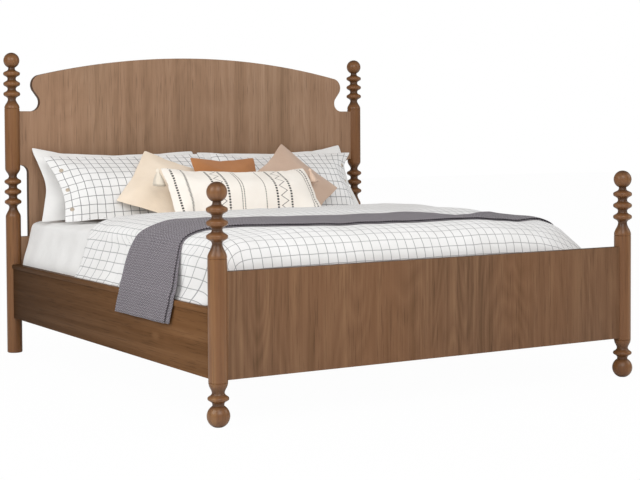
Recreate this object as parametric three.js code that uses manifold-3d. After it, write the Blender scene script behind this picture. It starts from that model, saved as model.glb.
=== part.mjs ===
// Panel bed with turned posts for a king mattress, made up with its bedding.
// Millimetres, +Z up, +Y towards the headboard, origin on the floor under the middle.
import * as THREE from "three";
import { mergeVertices } from "three/addons/utils/BufferGeometryUtils.js";
import Module from "manifold-3d";

const wasm = await Module();
wasm.setup();

// Fits
const fit = 0.3;
const softGap = 0.5;
const cutOverrun = 5;
const weldDistance = 0.0003;

// Mattress that the frame is made for, and the room round it
const mattressWidth = 1930;
const mattressLength = 2032;
const mattressThickness = 303;
const mattressSideGap = 3;
const mattressEndGap = 32;

// Boards
const panelThickness = 34;
const railThickness = 30;
const boardAboveTurning = 8;
const footboardHeight = 394;
const railHeight = 260;
const capHeight = 21;
const capProud = 5;
const capRound = 4;

// Posts and their turnings
const turnSteps = 16;
const postRadius = 36;
const ringRadius = 40;
const neckRadius = 19;
const ballRadius = 38;
const ballNeckRadius = 16;
const ballNeckLength = 5;
const ringPitch = 49;
const ringCount = 3;
const ringTipHalf = 6;
const ringTipRound = 4;
const ringCove = 3;
const coveShare = 0.6;
const coneSteps = 4;
const ballSteps = 5;
const postChamfer = 3;
const footShaftOverBoard = 48;
const footConeHeight = 55;
const headShaftOverBoard = 96;
const headLowerConeHeight = 49;
const headUpperConeHeight = 38;
const headShaftOverWing = 13;
const headConeHeight = 45;
const spigotRadius = 10;
const spigotLength = 30;
const housingDepth = 8;

// Turned foot under each foot post
const footBallRadius = 43;
const footFlatRadius = 16;
const footLowNeckRadius = 22;
const footRingRadius = 39.7;
const footRingCentre = 104;
const footRingPitch = 40;
const footHighNeckRadius = 23.5;
const footTurningConeHeight = 38;

// Headboard outline
const lowerBoardHeight = 391;
const wingOverCone = 16;
const wingHeight = 262;
const shoulderRise = 180;
const archRise = 92;
const lobeRadius = 51;
const lobeFromPost = 149;
const scoopRadius = 44;
const scoopFromPost = 93;
const slotFromPost = 75.5;
const slotRound = 38;
const archSteps = 14;
const arcSteps = 6;

// Slats and what carries them
const slatCount = 12;
const slatWidth = 80;
const slatThickness = 18;
const slatEndGap = 3;
const slatsBelowCap = 95;
const cleatWidth = 25;
const cleatHeight = 30;
const cleatPostGap = 6;
const beamWidth = 60;
const beamHeight = 90;
const hangerThickness = 3;
const hangerDepth = 40;
const legCount = 2;
const legWidth = 50;
const legPitch = 520;
const tenonWidth = 24;
const tenonLength = 15;

// Corner hardware
const bracketThickness = 3;
const bracketLeg = 45;
const bracketPostGap = 2;
const bracketHeight = 80;
const bracketAboveRailFoot = 25;
const boltRadius = 3.5;
const boltHeadRadius = 8;
const boltHeadHeight = 5;
const boltGrip = 20;
const boltSteps = 8;

// How the mattress draws in: shares of its height, of its shoulder and of its foot corners
const mattressShoulder = 84;
const mattressEndShare = 0.25;
const mattressFootCorner = 560;
const mattressHeadCorner = 60;
const mattressRiseShares = [0, 0.08, 0.316, 0.458, 0.616, 0.775, 0.933, 0.973, 1];
const mattressInsetShares = [0.3, 0, 0, 0.12, 0.31, 0.43, 0.55, 0.69, 1];
const mattressFootCornerShares = [0.2, 0.2, 0.22, 0.33, 0.49, 0.7, 0.93, 0.97, 1];

// Duvet: from hem to crown, its half width, its roll over each end and its foot corners
const duvetFromHeadboard = 709.5;
const duvetLoft = 77;
const duvetFootRoll = 500;
const duvetHeadRoll = 260;
const duvetFootCorner = 710;
const duvetHeadCorner = 60;
const duvetRiseShares = [0, 0.235, 0.505, 0.63, 0.737, 0.807, 0.863, 0.905, 0.937, 0.968, 0.993];
const duvetAcrossShares = [1, 0.975, 0.96, 0.951, 0.942, 0.925, 0.894, 0.855, 0.794, 0.66, 0.355];
const duvetFootRollShares = [0, 0.006, 0.012, 0.024, 0.05, 0.09, 0.15, 0.23, 0.34, 0.58, 1];
const duvetHeadRollShares = [0, 0.012, 0.024, 0.03, 0.046, 0.07, 0.11, 0.16, 0.24, 0.38, 1];
const duvetFootCornerShares = [0.18, 0.34, 0.61, 0.75, 0.85, 0.92, 0.97, 1, 0.99, 0.85, 0.47];
const cornerSteps = 5;
const cornerRoomShare = 0.95;

// Throw across the bed
const throwThickness = 10;
const throwWidth = 492;
const throwFromFootboard = 348;
const throwDrop = 93;
const throwStep = 6;

// Pillows, shams and loose cushions: how far each leans back, is spun in its own plane and faces round
const pillow = {
  width: 892, height: 400, thickness: 95, drawIn: 18, dip: 16, peak: 38, steps: [12, 8], tilt: 56, spin: 0, face: 0,
};
const sham = {
  width: 860, height: 440, thickness: 102, drawIn: 16, dip: 8, peak: 0, steps: [12, 8], tilt: 47.5, spin: 0, face: 0,
};
const beige = {
  width: 354, height: 354, thickness: 84, drawIn: 14, dip: 14, peak: 0, steps: [10, 10], tilt: 45, spin: -27, face: -17,
};
const mauve = {
  width: 348, height: 348, thickness: 76, drawIn: 14, dip: 14, peak: 0, steps: [10, 10], tilt: 48, spin: 36, face: 12,
};
const rust = {
  width: 366, height: 356, thickness: 74, drawIn: 18, dip: 18, peak: 0, steps: [10, 8], tilt: 58, spin: 0, face: 0,
};
const lumbar = {
  width: 816, height: 306, thickness: 80, drawIn: 14, dip: 16, peak: 0, steps: [12, 8], tilt: 50, spin: -1.5, face: 0,
};
const cushionSink = 8;
const crownPower = 3;
const peakPower = 5;
const pillowPairGap = 12;
const pillowPairShift = -24;
const shamPairGap = 22;
const shamPairShift = -10;
const beigeX = -392;
const mauveX = 325;
const rustX = -68;
const lumbarX = -58;
const slackToSham = 44;
const slackToBeige = 30;
const slackToMauve = 82;
const slackToRust = 63;
const slackToLumbar = 32;

// Where the posts stand
const postSpanX = mattressWidth + 2 * mattressSideGap + railThickness;
const postSpanY = mattressLength + 2 * mattressEndGap + panelThickness;
const postX = postSpanX / 2;
const middleY = (footBallRadius - ringRadius) / 2;
const footY = middleY - postSpanY / 2;
const headY = middleY + postSpanY / 2;
const footShaftBottom = footRingCentre + footRingPitch / 2 + footTurningConeHeight;
const panelBottom = footShaftBottom + boardAboveTurning;
const railBottom = panelBottom;
const railTop = railBottom + railHeight;
const footboardTop = panelBottom + footboardHeight;
const footShaftTop = footboardTop + footShaftOverBoard;
const lowerBoardTop = panelBottom + lowerBoardHeight;
const headLowerShaftTop = lowerBoardTop + headShaftOverBoard;
const headRingsBottom = headLowerShaftTop + headLowerConeHeight;
const headUpperConeBottom = headRingsBottom + ringPitch * ringCount;
const wingBottom = headUpperConeBottom + headUpperConeHeight + wingOverCone;
const wingTop = wingBottom + wingHeight;
const headShaftTop = wingTop + headShaftOverWing;
const shoulderTop = wingTop + shoulderRise;
const headboardCrown = shoulderTop + archRise;
const lobeCentreX = postX - lobeFromPost;
const scoopCentreX = postX - scoopFromPost;
const slotInnerX = postX - slotFromPost;
const railInnerX = postX - railThickness / 2;
const railOuterX = postX + railThickness / 2;
const footPanelInnerY = footY + panelThickness / 2;
const headPanelInnerY = headY - panelThickness / 2;
const housingFloor = postRadius - housingDepth;
const boardEndX = postX - housingFloor - fit;
const railEndInset = housingFloor + fit;
const bracketBottom = railBottom + bracketAboveRailFoot;
const slatTop = railTop - slatsBelowCap;
const slatBottom = slatTop - slatThickness;
const beamBottom = slatBottom - fit - beamHeight;
const mattressBottom = slatTop + fit;
const mattressTop = mattressBottom + mattressThickness;
const duvetHem = railTop + fit;
const duvetCrown = mattressTop + duvetLoft;
const duvetHalfWidth = (railInnerX + railOuterX + capProud) / 2;
const duvetHeadY = headPanelInnerY - duvetFromHeadboard;
const throwFootY = footPanelInnerY + throwFromFootboard;
const throwHeadY = throwFootY + throwWidth;
const throwHem = railTop - throwDrop;

// Colours and finishes
const oiled = (color, roughness) => new THREE.MeshStandardMaterial({ color, roughness, metalness: 0 });
const walnutPanel = oiled(0x83664d, 0.5);
const walnutPost = oiled(0x7f5a3d, 0.4);
const walnutRail = oiled(0x694a33, 0.5);
const slatWood = oiled(0xb99a6f, 0.7);
const steel = new THREE.MeshStandardMaterial({ color: 0x8c8c8c, roughness: 0.4, metalness: 0.9 });
const cloth = (color) => new THREE.MeshStandardMaterial({ color, roughness: 0.9, metalness: 0 });
const whiteCotton = cloth(0xf1f0ee);
const checkCotton = cloth(0xeeedec);
const greyWeave = cloth(0x847e82);
const beigeCotton = cloth(0xdccbb6);
const rustCotton = cloth(0xa86a42);
const mauveCotton = cloth(0xac9083);
const creamCotton = cloth(0xeee4d8);

const bed = new THREE.Group();

function add(name, geometry, material) {
  const mesh = new THREE.Mesh(geometry, material);
  mesh.name = name;
  bed.add(mesh);
  return mesh;
}

function toSolid(geometry) {
  const bare = geometry.clone();
  bare.deleteAttribute("normal");
  bare.deleteAttribute("uv");
  const merged = mergeVertices(bare, weldDistance);
  const index = merged.index.array;
  const kept = [];
  for (let i = 0; i < index.length; i += 3) {
    const [a, b, c] = [index[i], index[i + 1], index[i + 2]];
    if (a !== b && b !== c && c !== a) kept.push(a, b, c);
  }
  const vertProperties = new Float32Array(merged.attributes.position.array);
  const triVerts = new Uint32Array(kept);
  return new wasm.Manifold(new wasm.Mesh({ numProp: 3, vertProperties, triVerts }));
}

function toGeometry(solid) {
  const mesh = solid.getMesh();
  const geometry = new THREE.BufferGeometry();
  geometry.setAttribute("position", new THREE.BufferAttribute(mesh.vertProperties, 3));
  geometry.setIndex(new THREE.BufferAttribute(mesh.triVerts, 1));
  geometry.computeVertexNormals();
  return geometry;
}

function cut(geometry, cutters) {
  let solid = toSolid(geometry);
  for (const cutter of cutters) solid = solid.subtract(toSolid(cutter));
  return toGeometry(solid);
}

// A box between two corners
function block(low, high) {
  const size = high.map((value, i) => value - low[i]);
  const centre = high.map((value, i) => (value + low[i]) / 2);
  return new THREE.BoxGeometry(...size).translate(...centre);
}

// A round bar from a point along one axis
function bar(start, direction, radius, length) {
  const rod = new THREE.CylinderGeometry(radius, radius, length, boltSteps).translate(0, length / 2, 0);
  const turn = new THREE.Quaternion().setFromUnitVectors(new THREE.Vector3(0, 1, 0), direction);
  return rod.applyQuaternion(turn).translate(start.x, start.y, start.z);
}

// A lathe-turned solid: a profile of radius and height, standing on +Z
function turned(profile) {
  const points = profile.map(([radius, height]) => new THREE.Vector2(radius, height));
  return new THREE.LatheGeometry(points, turnSteps).rotateX(Math.PI / 2);
}

// Sloped stretch between two radii, easing in and out
function cone(fromRadius, toRadius, fromZ, toZ) {
  const points = [];
  for (let i = 0; i <= coneSteps; i++) {
    const ease = (1 - Math.cos((Math.PI * i) / coneSteps)) / 2;
    points.push([fromRadius + (toRadius - fromRadius) * ease, fromZ + ((toZ - fromZ) * i) / coneSteps]);
  }
  return points;
}

// One sharp-edged bead between two necks
function ring(centre, pitch, radius, lowNeck, highNeck) {
  const cove = (pitch / 2) * coveShare;
  return [
    [lowNeck + ringCove, centre - cove],
    [radius - ringTipRound, centre - ringTipHalf],
    [radius, centre],
    [radius - ringTipRound, centre + ringTipHalf],
    [highNeck + ringCove, centre + cove],
    [highNeck, centre + pitch / 2],
  ];
}

function ringStack(bottom) {
  const points = [];
  for (let i = 0; i < ringCount; i++) {
    points.push(...ring(bottom + ringPitch * (i + 1 / 2), ringPitch, ringRadius, neckRadius, neckRadius));
  }
  return points;
}

// Cone, beads and ball that crown a post, on a spigot
function finial(coneHeight) {
  const neckZ = coneHeight + ringPitch * ringCount;
  const ballBase = Math.sqrt(ballRadius ** 2 - ballNeckRadius ** 2);
  const ballCentre = neckZ + ballNeckLength + ballBase;
  const start = Math.atan2(-ballBase, ballNeckRadius);
  const ball = [];
  for (let i = 0; i <= ballSteps; i++) {
    const angle = start + ((Math.PI / 2 - start) * i) / ballSteps;
    ball.push([i === ballSteps ? 0 : ballRadius * Math.cos(angle), ballCentre + ballRadius * Math.sin(angle)]);
  }
  const stack = ringStack(coneHeight);
  stack[stack.length - 1] = [ballNeckRadius, neckZ];
  return turned([
    [0, -spigotLength],
    [spigotRadius, -spigotLength],
    [spigotRadius, 0],
    ...cone(postRadius, neckRadius, 0, coneHeight),
    ...stack,
    ...ball,
  ]);
}

// Hole that takes a spigot, as the last points of a profile at the top of a piece
function socketDown(z) {
  const radius = spigotRadius + fit;
  return [[radius, z], [radius, z - spigotLength - fit], [0, z - spigotLength - fit]];
}

// Let-in places in a post for a board that comes along X and a rail that comes along Y
function housings(side, towards, spans) {
  const boardHalf = panelThickness / 2 + fit;
  const boards = spans.map(([low, high]) => block(
    [side > 0 ? -postRadius - cutOverrun : housingFloor, -boardHalf, low - fit],
    [side > 0 ? -housingFloor : postRadius + cutOverrun, boardHalf, high + fit],
  ));
  const inner = railThickness / 2 + fit;
  const outer = inner + capProud;
  const near = towards > 0 ? housingFloor : -postRadius - cutOverrun;
  const far = towards > 0 ? postRadius + cutOverrun : -housingFloor;
  const rail = block([-inner, near, railBottom - fit], [inner, far, railTop + fit]);
  const cap = block(
    [side > 0 ? -inner : -outer, near, railTop - capHeight - fit],
    [side > 0 ? outer : inner, far, railTop + fit],
  );
  return [...boards, rail, cap];
}

// Head posts: square-bottomed, turned once below the shaft, with a let-in finial
function headPost(side) {
  const profile = [
    [0, 0],
    [postRadius - postChamfer, 0],
    [postRadius, postChamfer],
    ...cone(postRadius, neckRadius, headLowerShaftTop, headRingsBottom),
    ...ringStack(headRingsBottom),
    ...cone(neckRadius, postRadius, headUpperConeBottom, headUpperConeBottom + headUpperConeHeight).slice(1),
    [postRadius, headShaftTop - fit],
    ...socketDown(headShaftTop - fit),
  ];
  const spans = [[panelBottom, lowerBoardTop], [wingBottom, wingTop]];
  return cut(turned(profile), housings(side, -1, spans));
}

// Foot posts: a plain shaft, bored at both ends
function footPost(side) {
  const bore = spigotRadius + fit;
  const low = footShaftBottom + fit;
  const profile = [
    [0, low + spigotLength + fit],
    [bore, low + spigotLength + fit],
    [bore, low],
    [postRadius, low],
    [postRadius, footShaftTop - fit],
    ...socketDown(footShaftTop - fit),
  ];
  return cut(turned(profile), housings(side, 1, [[panelBottom, footboardTop]]));
}

// Ball, bead and cone under the foot post, with a spigot up into it
function footTurning() {
  const ballCentre = Math.sqrt(footBallRadius ** 2 - footFlatRadius ** 2);
  const start = Math.atan2(-ballCentre, footFlatRadius);
  const end = Math.acos(footLowNeckRadius / footBallRadius);
  const ball = [];
  for (let i = 0; i <= ballSteps; i++) {
    const angle = start + ((end - start) * i) / ballSteps;
    ball.push([footBallRadius * Math.cos(angle), i === 0 ? 0 : ballCentre + footBallRadius * Math.sin(angle)]);
  }
  const neckZ = footRingCentre + footRingPitch / 2;
  return turned([
    [0, 0],
    ...ball,
    [footLowNeckRadius, footRingCentre - footRingPitch / 2],
    ...ring(footRingCentre, footRingPitch, footRingRadius, footLowNeckRadius, footHighNeckRadius),
    ...cone(footHighNeckRadius, postRadius, neckZ, footShaftBottom).slice(1),
    [spigotRadius, footShaftBottom],
    [spigotRadius, footShaftBottom + spigotLength],
    [0, footShaftBottom + spigotLength],
  ]);
}

function addPosts() {
  for (const [word, side] of [["left", -1], ["right", 1]]) {
    add(`head_post_${word}`, headPost(side), walnutPost).position.set(side * postX, headY, 0);
    add(`head_finial_${word}`, finial(headConeHeight), walnutPost).position.set(side * postX, headY, headShaftTop);
    add(`foot_post_${word}`, footPost(side), walnutPost).position.set(side * postX, footY, 0);
    add(`foot_finial_${word}`, finial(footConeHeight), walnutPost).position.set(side * postX, footY, footShaftTop);
    add(`foot_turning_${word}`, footTurning(), walnutPost).position.set(side * postX, footY, 0);
  }
}

// Points of an arc in the outline's plane, by degrees
function arc(x, z, radius, from, to, steps) {
  const points = [];
  for (let i = 0; i <= steps; i++) {
    const angle = THREE.MathUtils.degToRad(from + ((to - from) * i) / steps);
    points.push(new THREE.Vector2(x + radius * Math.cos(angle), z + radius * Math.sin(angle)));
  }
  return points;
}

// Right half of the headboard's edge, from the bottom middle up to the crown
function headboardHalf() {
  const rise = headboardCrown - shoulderTop;
  const archRadius = (lobeCentreX ** 2 + rise ** 2) / (2 * rise);
  const archCentreZ = headboardCrown - archRadius;
  const lobeAngle = Math.acos(lobeCentreX / (archRadius - lobeRadius));
  const lobeZ = archCentreZ + (archRadius - lobeRadius) * Math.sin(lobeAngle);
  const scoopZ = wingTop + scoopRadius;
  const dx = scoopCentreX - lobeCentreX;
  const dz = scoopZ - lobeZ;
  const lean = THREE.MathUtils.radToDeg(Math.atan2(dz, dx));
  const turn = THREE.MathUtils.radToDeg(Math.acos(Math.min(1, (lobeRadius + scoopRadius) / Math.hypot(dx, dz))));
  const lobeStart = THREE.MathUtils.radToDeg(lobeAngle);
  const tangent = lean + turn;
  return [
    new THREE.Vector2(boardEndX, panelBottom),
    new THREE.Vector2(boardEndX, lowerBoardTop),
    new THREE.Vector2(slotInnerX, lowerBoardTop),
    ...arc(slotInnerX + slotRound, wingBottom - slotRound, slotRound, 180, 90, arcSteps),
    new THREE.Vector2(boardEndX, wingBottom),
    new THREE.Vector2(boardEndX, wingTop),
    ...arc(scoopCentreX, scoopZ, scoopRadius, 270, tangent + 180, arcSteps),
    ...arc(lobeCentreX, lobeZ, lobeRadius, tangent, lobeStart, arcSteps),
    ...arc(0, archCentreZ, archRadius, lobeStart, 90, archSteps).slice(1, -1),
  ];
}

function addHeadboard() {
  const half = headboardHalf();
  const mirrored = half.map((point) => new THREE.Vector2(-point.x, point.y)).reverse();
  const outline = new THREE.Shape([...half, new THREE.Vector2(0, headboardCrown), ...mirrored]);
  const board = new THREE.ExtrudeGeometry(outline, { depth: panelThickness, bevelEnabled: false });
  board.rotateX(Math.PI / 2).translate(0, headY + panelThickness / 2, 0);
  add("headboard_panel", cut(board, boltHoles(headPanelInnerY, 1)), walnutPanel);
}

function addFootboard() {
  const board = block(
    [-boardEndX, footY - panelThickness / 2, panelBottom],
    [boardEndX, footPanelInnerY, footboardTop],
  );
  add("footboard_panel", cut(board, boltHoles(footPanelInnerY, -1)), walnutPanel);
}

// Height of the corner bolts, and how far they stand from the post's axis
const boltZ = bracketBottom + bracketHeight / 2;
const bracketStart = postRadius + bracketPostGap;
const boltOffset = bracketStart + bracketLeg / 2;

// Blind holes for the two bracket bolts in a panel's inner face
function boltHoles(faceY, towards) {
  return [-1, 1].map((side) => bar(
    new THREE.Vector3(side * (postX - boltOffset), faceY - towards * cutOverrun, boltZ),
    new THREE.Vector3(0, towards, 0),
    boltRadius + fit,
    boltGrip + cutOverrun,
  ));
}

function addRails() {
  const lowY = footY + railEndInset;
  const highY = headY - railEndInset;
  for (const [word, side] of [["left", -1], ["right", 1]]) {
    const xs = [side * railInnerX, side * railOuterX].sort((a, b) => a - b);
    const board = block([xs[0], lowY, railBottom], [xs[1], highY, railTop - capHeight - fit]);
    const holes = [footY + boltOffset, headY - boltOffset].map((y) => bar(
      new THREE.Vector3(side * (railInnerX - cutOverrun), y, boltZ),
      new THREE.Vector3(side, 0, 0),
      boltRadius + fit,
      boltGrip + cutOverrun,
    ));
    add(`side_rail_${word}`, cut(board, holes), walnutRail);
    add(`rail_cap_${word}`, railCap(side, lowY, highY), walnutRail);
    const cleatXs = [side * (railInnerX - fit), side * (railInnerX - fit - cleatWidth)].sort((a, b) => a - b);
    const cleatTop = slatBottom - fit;
    add(`slat_cleat_${word}`, block(
      [cleatXs[0], footY + postRadius + cleatPostGap, cleatTop - cleatHeight],
      [cleatXs[1], headY - postRadius - cleatPostGap, cleatTop],
    ), slatWood);
  }
}

// Cap moulding along the top of a rail, eased on its outer top edge
function railCap(side, lowY, highY) {
  const bottom = railTop - capHeight;
  const outerX = railOuterX + capProud;
  const shape = new THREE.Shape([
    new THREE.Vector2(side * railInnerX, bottom),
    new THREE.Vector2(side * outerX, bottom),
    new THREE.Vector2(side * outerX, railTop - capRound),
    new THREE.Vector2(side * (outerX - capRound), railTop),
    new THREE.Vector2(side * railInnerX, railTop),
  ]);
  const strip = new THREE.ExtrudeGeometry(shape, { depth: highY - lowY, bevelEnabled: false });
  return strip.rotateX(Math.PI / 2).translate(0, highY, 0);
}

// Slats on the cleats and the centre beam
function addSlats() {
  const halfLength = railInnerX - slatEndGap;
  const first = middleY - mattressLength / 2 + slatWidth / 2;
  const pitch = (mattressLength - slatWidth) / (slatCount - 1);
  for (let i = 0; i < slatCount; i++) {
    const y = first + pitch * i;
    const name = `slat_${String(i + 1).padStart(2, "0")}`;
    add(name, block([-halfLength, y - slatWidth / 2, slatBottom], [halfLength, y + slatWidth / 2, slatTop]), slatWood);
  }
}

// Centre beam in its two hangers, on tenoned legs from the middle towards the head
function addBeam() {
  const ends = [footPanelInnerY + fit, headPanelInnerY - fit];
  const half = beamWidth / 2;
  const beam = block([-half, ends[0], beamBottom], [half, ends[1], beamBottom + beamHeight]);
  const tenonHalf = tenonWidth / 2;
  const mortises = [];
  for (let i = 0; i < legCount; i++) {
    const y = middleY + legPitch * i;
    const room = tenonHalf + fit;
    mortises.push(block([-room, y - room, beamBottom - cutOverrun], [room, y + room, beamBottom + tenonLength]));
    const legTop = beamBottom - fit;
    const leg = toSolid(block([-legWidth / 2, y - legWidth / 2, 0], [legWidth / 2, y + legWidth / 2, legTop]));
    const tenon = block([-tenonHalf, y - tenonHalf, legTop - tenonLength], [tenonHalf, y + tenonHalf, legTop + tenonLength]);
    add(`centre_leg_${i + 1}`, toGeometry(leg.add(toSolid(tenon))), slatWood);
  }
  add("centre_beam", cut(beam, mortises), slatWood);
  add("beam_hanger_foot", hanger().translate(0, ends[0] + hangerDepth, 0), steel);
  add("beam_hanger_head", hanger().translate(0, ends[1], 0), steel);
}

// Steel stirrup under and beside a beam end
function hanger() {
  const inner = beamWidth / 2 + fit;
  const outer = inner + hangerThickness;
  const floor = beamBottom - fit;
  const top = beamBottom + beamHeight - fit;
  const shape = new THREE.Shape([
    new THREE.Vector2(-outer, floor - hangerThickness),
    new THREE.Vector2(outer, floor - hangerThickness),
    new THREE.Vector2(outer, top),
    new THREE.Vector2(inner, top),
    new THREE.Vector2(inner, floor),
    new THREE.Vector2(-inner, floor),
    new THREE.Vector2(-inner, top),
    new THREE.Vector2(-outer, top),
  ]);
  return new THREE.ExtrudeGeometry(shape, { depth: hangerDepth, bevelEnabled: false }).rotateX(Math.PI / 2);
}

// Steel angle in each corner, bent round the post, with one bolt into the rail and one into the panel
function addCorner(word, side, end) {
  const postY = end > 0 ? headY : footY;
  const inward = (dx, dy) => new THREE.Vector2(side * (postX - dx), postY - end * dy);
  const railSide = railThickness / 2 + fit;
  const panelSide = panelThickness / 2 + fit;
  const mitre = bracketThickness * (Math.SQRT2 - 1);
  const shape = new THREE.Shape([
    inward(railSide, bracketStart + bracketLeg),
    inward(railSide, bracketStart),
    inward(bracketStart, panelSide),
    inward(bracketStart + bracketLeg, panelSide),
    inward(bracketStart + bracketLeg, panelSide + bracketThickness),
    inward(bracketStart + mitre, panelSide + bracketThickness),
    inward(railSide + bracketThickness, bracketStart + mitre),
    inward(railSide + bracketThickness, bracketStart + bracketLeg),
  ]);
  const angle = new THREE.ExtrudeGeometry(shape, { depth: bracketHeight, bevelEnabled: false });
  angle.translate(0, 0, bracketBottom);
  const railward = new THREE.Vector3(side, 0, 0);
  const panelward = new THREE.Vector3(0, end, 0);
  const seatAt = (place) => new THREE.Vector3(place.x, place.y, boltZ);
  const railSeat = seatAt(inward(railSide + bracketThickness + fit, boltOffset));
  const panelSeat = seatAt(inward(boltOffset, panelSide + bracketThickness + fit));
  const reach = bracketThickness + cutOverrun * 2;
  const holeFor = (seat, way) => bar(seat.clone().addScaledVector(way, -cutOverrun), way, boltRadius + fit, reach);
  add(`corner_bracket_${word}`, cut(angle, [holeFor(railSeat, railward), holeFor(panelSeat, panelward)]), steel);
  addBolt(`rail_bolt_${word}`, railSeat, railward);
  addBolt(`panel_bolt_${word}`, panelSeat, panelward);
}

function addBolt(name, seat, direction) {
  const shank = bracketThickness + boltGrip - fit;
  const profile = [
    [0, -boltHeadHeight],
    [boltHeadRadius, -boltHeadHeight],
    [boltHeadRadius, 0],
    [boltRadius, 0],
    [boltRadius, shank],
    [0, shank],
  ].map(([radius, height]) => new THREE.Vector2(radius, height));
  const bolt = add(name, new THREE.LatheGeometry(profile, boltSteps), steel);
  bolt.quaternion.setFromUnitVectors(new THREE.Vector3(0, 1, 0), direction);
  bolt.position.copy(seat);
}

// A level ring of points with one corner radius at the foot and one at the head
function levelRing({ halfWidth, lowY, highY, lowRadius, highRadius, z }) {
  const most = Math.min(halfWidth, (highY - lowY) / 2) * cornerRoomShare;
  const low = Math.min(lowRadius, most);
  const high = Math.min(highRadius, most);
  const corners = [
    [halfWidth - low, lowY + low, low, -90],
    [halfWidth - high, highY - high, high, 0],
    [-halfWidth + high, highY - high, high, 90],
    [-halfWidth + low, lowY + low, low, 180],
  ];
  const points = [];
  for (const [x, y, radius, from] of corners) {
    for (let i = 0; i <= cornerSteps; i++) {
      const angle = THREE.MathUtils.degToRad(from + (90 * i) / cornerSteps);
      points.push(new THREE.Vector3(x + radius * Math.cos(angle), y + radius * Math.sin(angle), z));
    }
  }
  return points;
}

// A closed solid through level rings, with a middle point under and over them
function loft(rings, bottomZ, topZ) {
  const count = rings[0].length;
  const positions = rings.flat();
  const middle = (ringPoints, z) => {
    const sum = ringPoints.reduce((total, point) => total.add(point), new THREE.Vector3());
    return sum.divideScalar(count).setZ(z);
  };
  positions.push(middle(rings[0], bottomZ), middle(rings[rings.length - 1], topZ));
  const index = [];
  for (let i = 0; i < count; i++) {
    const next = (i + 1) % count;
    for (let level = 0; level < rings.length - 1; level++) {
      const low = level * count;
      const high = low + count;
      index.push(low + i, low + next, high + next, low + i, high + next, high + i);
    }
    const last = (rings.length - 1) * count;
    index.push(next, i, positions.length - 2, last + i, last + next, positions.length - 1);
  }
  const geometry = new THREE.BufferGeometry().setFromPoints(positions);
  geometry.setIndex(index);
  geometry.computeVertexNormals();
  return geometry;
}

// Mattress as level rings, grown by a clearance when something is shaped over it
function mattressSolid(grow) {
  const halfLength = mattressLength / 2;
  const rings = mattressRiseShares.map((rise, i) => {
    const inset = mattressShoulder * mattressInsetShares[i];
    return levelRing({
      halfWidth: mattressWidth / 2 - inset + grow,
      lowY: middleY - halfLength + inset * mattressEndShare - grow,
      highY: middleY + halfLength - inset * mattressEndShare + grow,
      lowRadius: mattressFootCorner * mattressFootCornerShares[i] + grow,
      highRadius: mattressHeadCorner + grow,
      z: mattressBottom + mattressThickness * rise + grow * (2 * rise - 1),
    });
  });
  return loft(rings, mattressBottom - grow, mattressTop + grow);
}

// One level of the duvet, moved out square to its side
function duvetLevel(i, out) {
  const rise = duvetRiseShares[i];
  const before = Math.max(i - 1, 0);
  const after = Math.min(i + 1, duvetRiseShares.length - 1);
  const height = duvetCrown - duvetHem;
  const outward = new THREE.Vector2(
    (duvetRiseShares[after] - duvetRiseShares[before]) * height,
    (duvetAcrossShares[before] - duvetAcrossShares[after]) * duvetHalfWidth,
  ).normalize().multiplyScalar(out);
  return levelRing({
    halfWidth: duvetHalfWidth * duvetAcrossShares[i] + outward.x,
    lowY: footPanelInnerY + softGap + duvetFootRoll * duvetFootRollShares[i] - outward.x,
    highY: duvetHeadY - duvetHeadRoll * duvetHeadRollShares[i] + outward.x,
    lowRadius: duvetFootCorner * duvetFootCornerShares[i] + outward.x,
    highRadius: duvetHeadCorner + duvetHeadRoll * duvetHeadRollShares[i] + outward.x,
    z: duvetHem + height * rise + outward.y,
  });
}

function addMattressAndDuvet() {
  add("mattress", mattressSolid(0), whiteCotton);
  const dome = loft(duvetRiseShares.map((rise, i) => duvetLevel(i, 0)), duvetHem, duvetCrown);
  add("duvet", cut(dome, [mattressSolid(softGap), ...lumbarRoom()]), checkCotton);
}

// Shell that the throw is cut from: over the dome, out past the rail caps and down
function throwShell(out, hem) {
  const flapX = railOuterX + capProud + out;
  const flap = (z) => levelRing({
    halfWidth: flapX,
    lowY: footY,
    highY: duvetHeadY,
    lowRadius: duvetHeadCorner,
    highRadius: duvetHeadCorner,
    z,
  });
  const domed = duvetRiseShares.slice(1).map((rise, i) => duvetLevel(i + 1, out));
  return loft([flap(hem), flap(railTop + throwStep + out), ...domed], hem, duvetCrown + out);
}

function addThrow() {
  const outer = toSolid(throwShell(softGap + throwThickness, throwHem));
  const inner = toSolid(throwShell(softGap, throwHem - cutOverrun));
  const reach = railOuterX + capProud + throwThickness + cutOverrun;
  const strip = toSolid(block([-reach, throwFootY, 0], [reach, throwHeadY, duvetCrown + throwThickness + cutOverrun]));
  add("throw", toGeometry(outer.subtract(inner).intersect(strip)), greyWeave);
}

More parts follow.
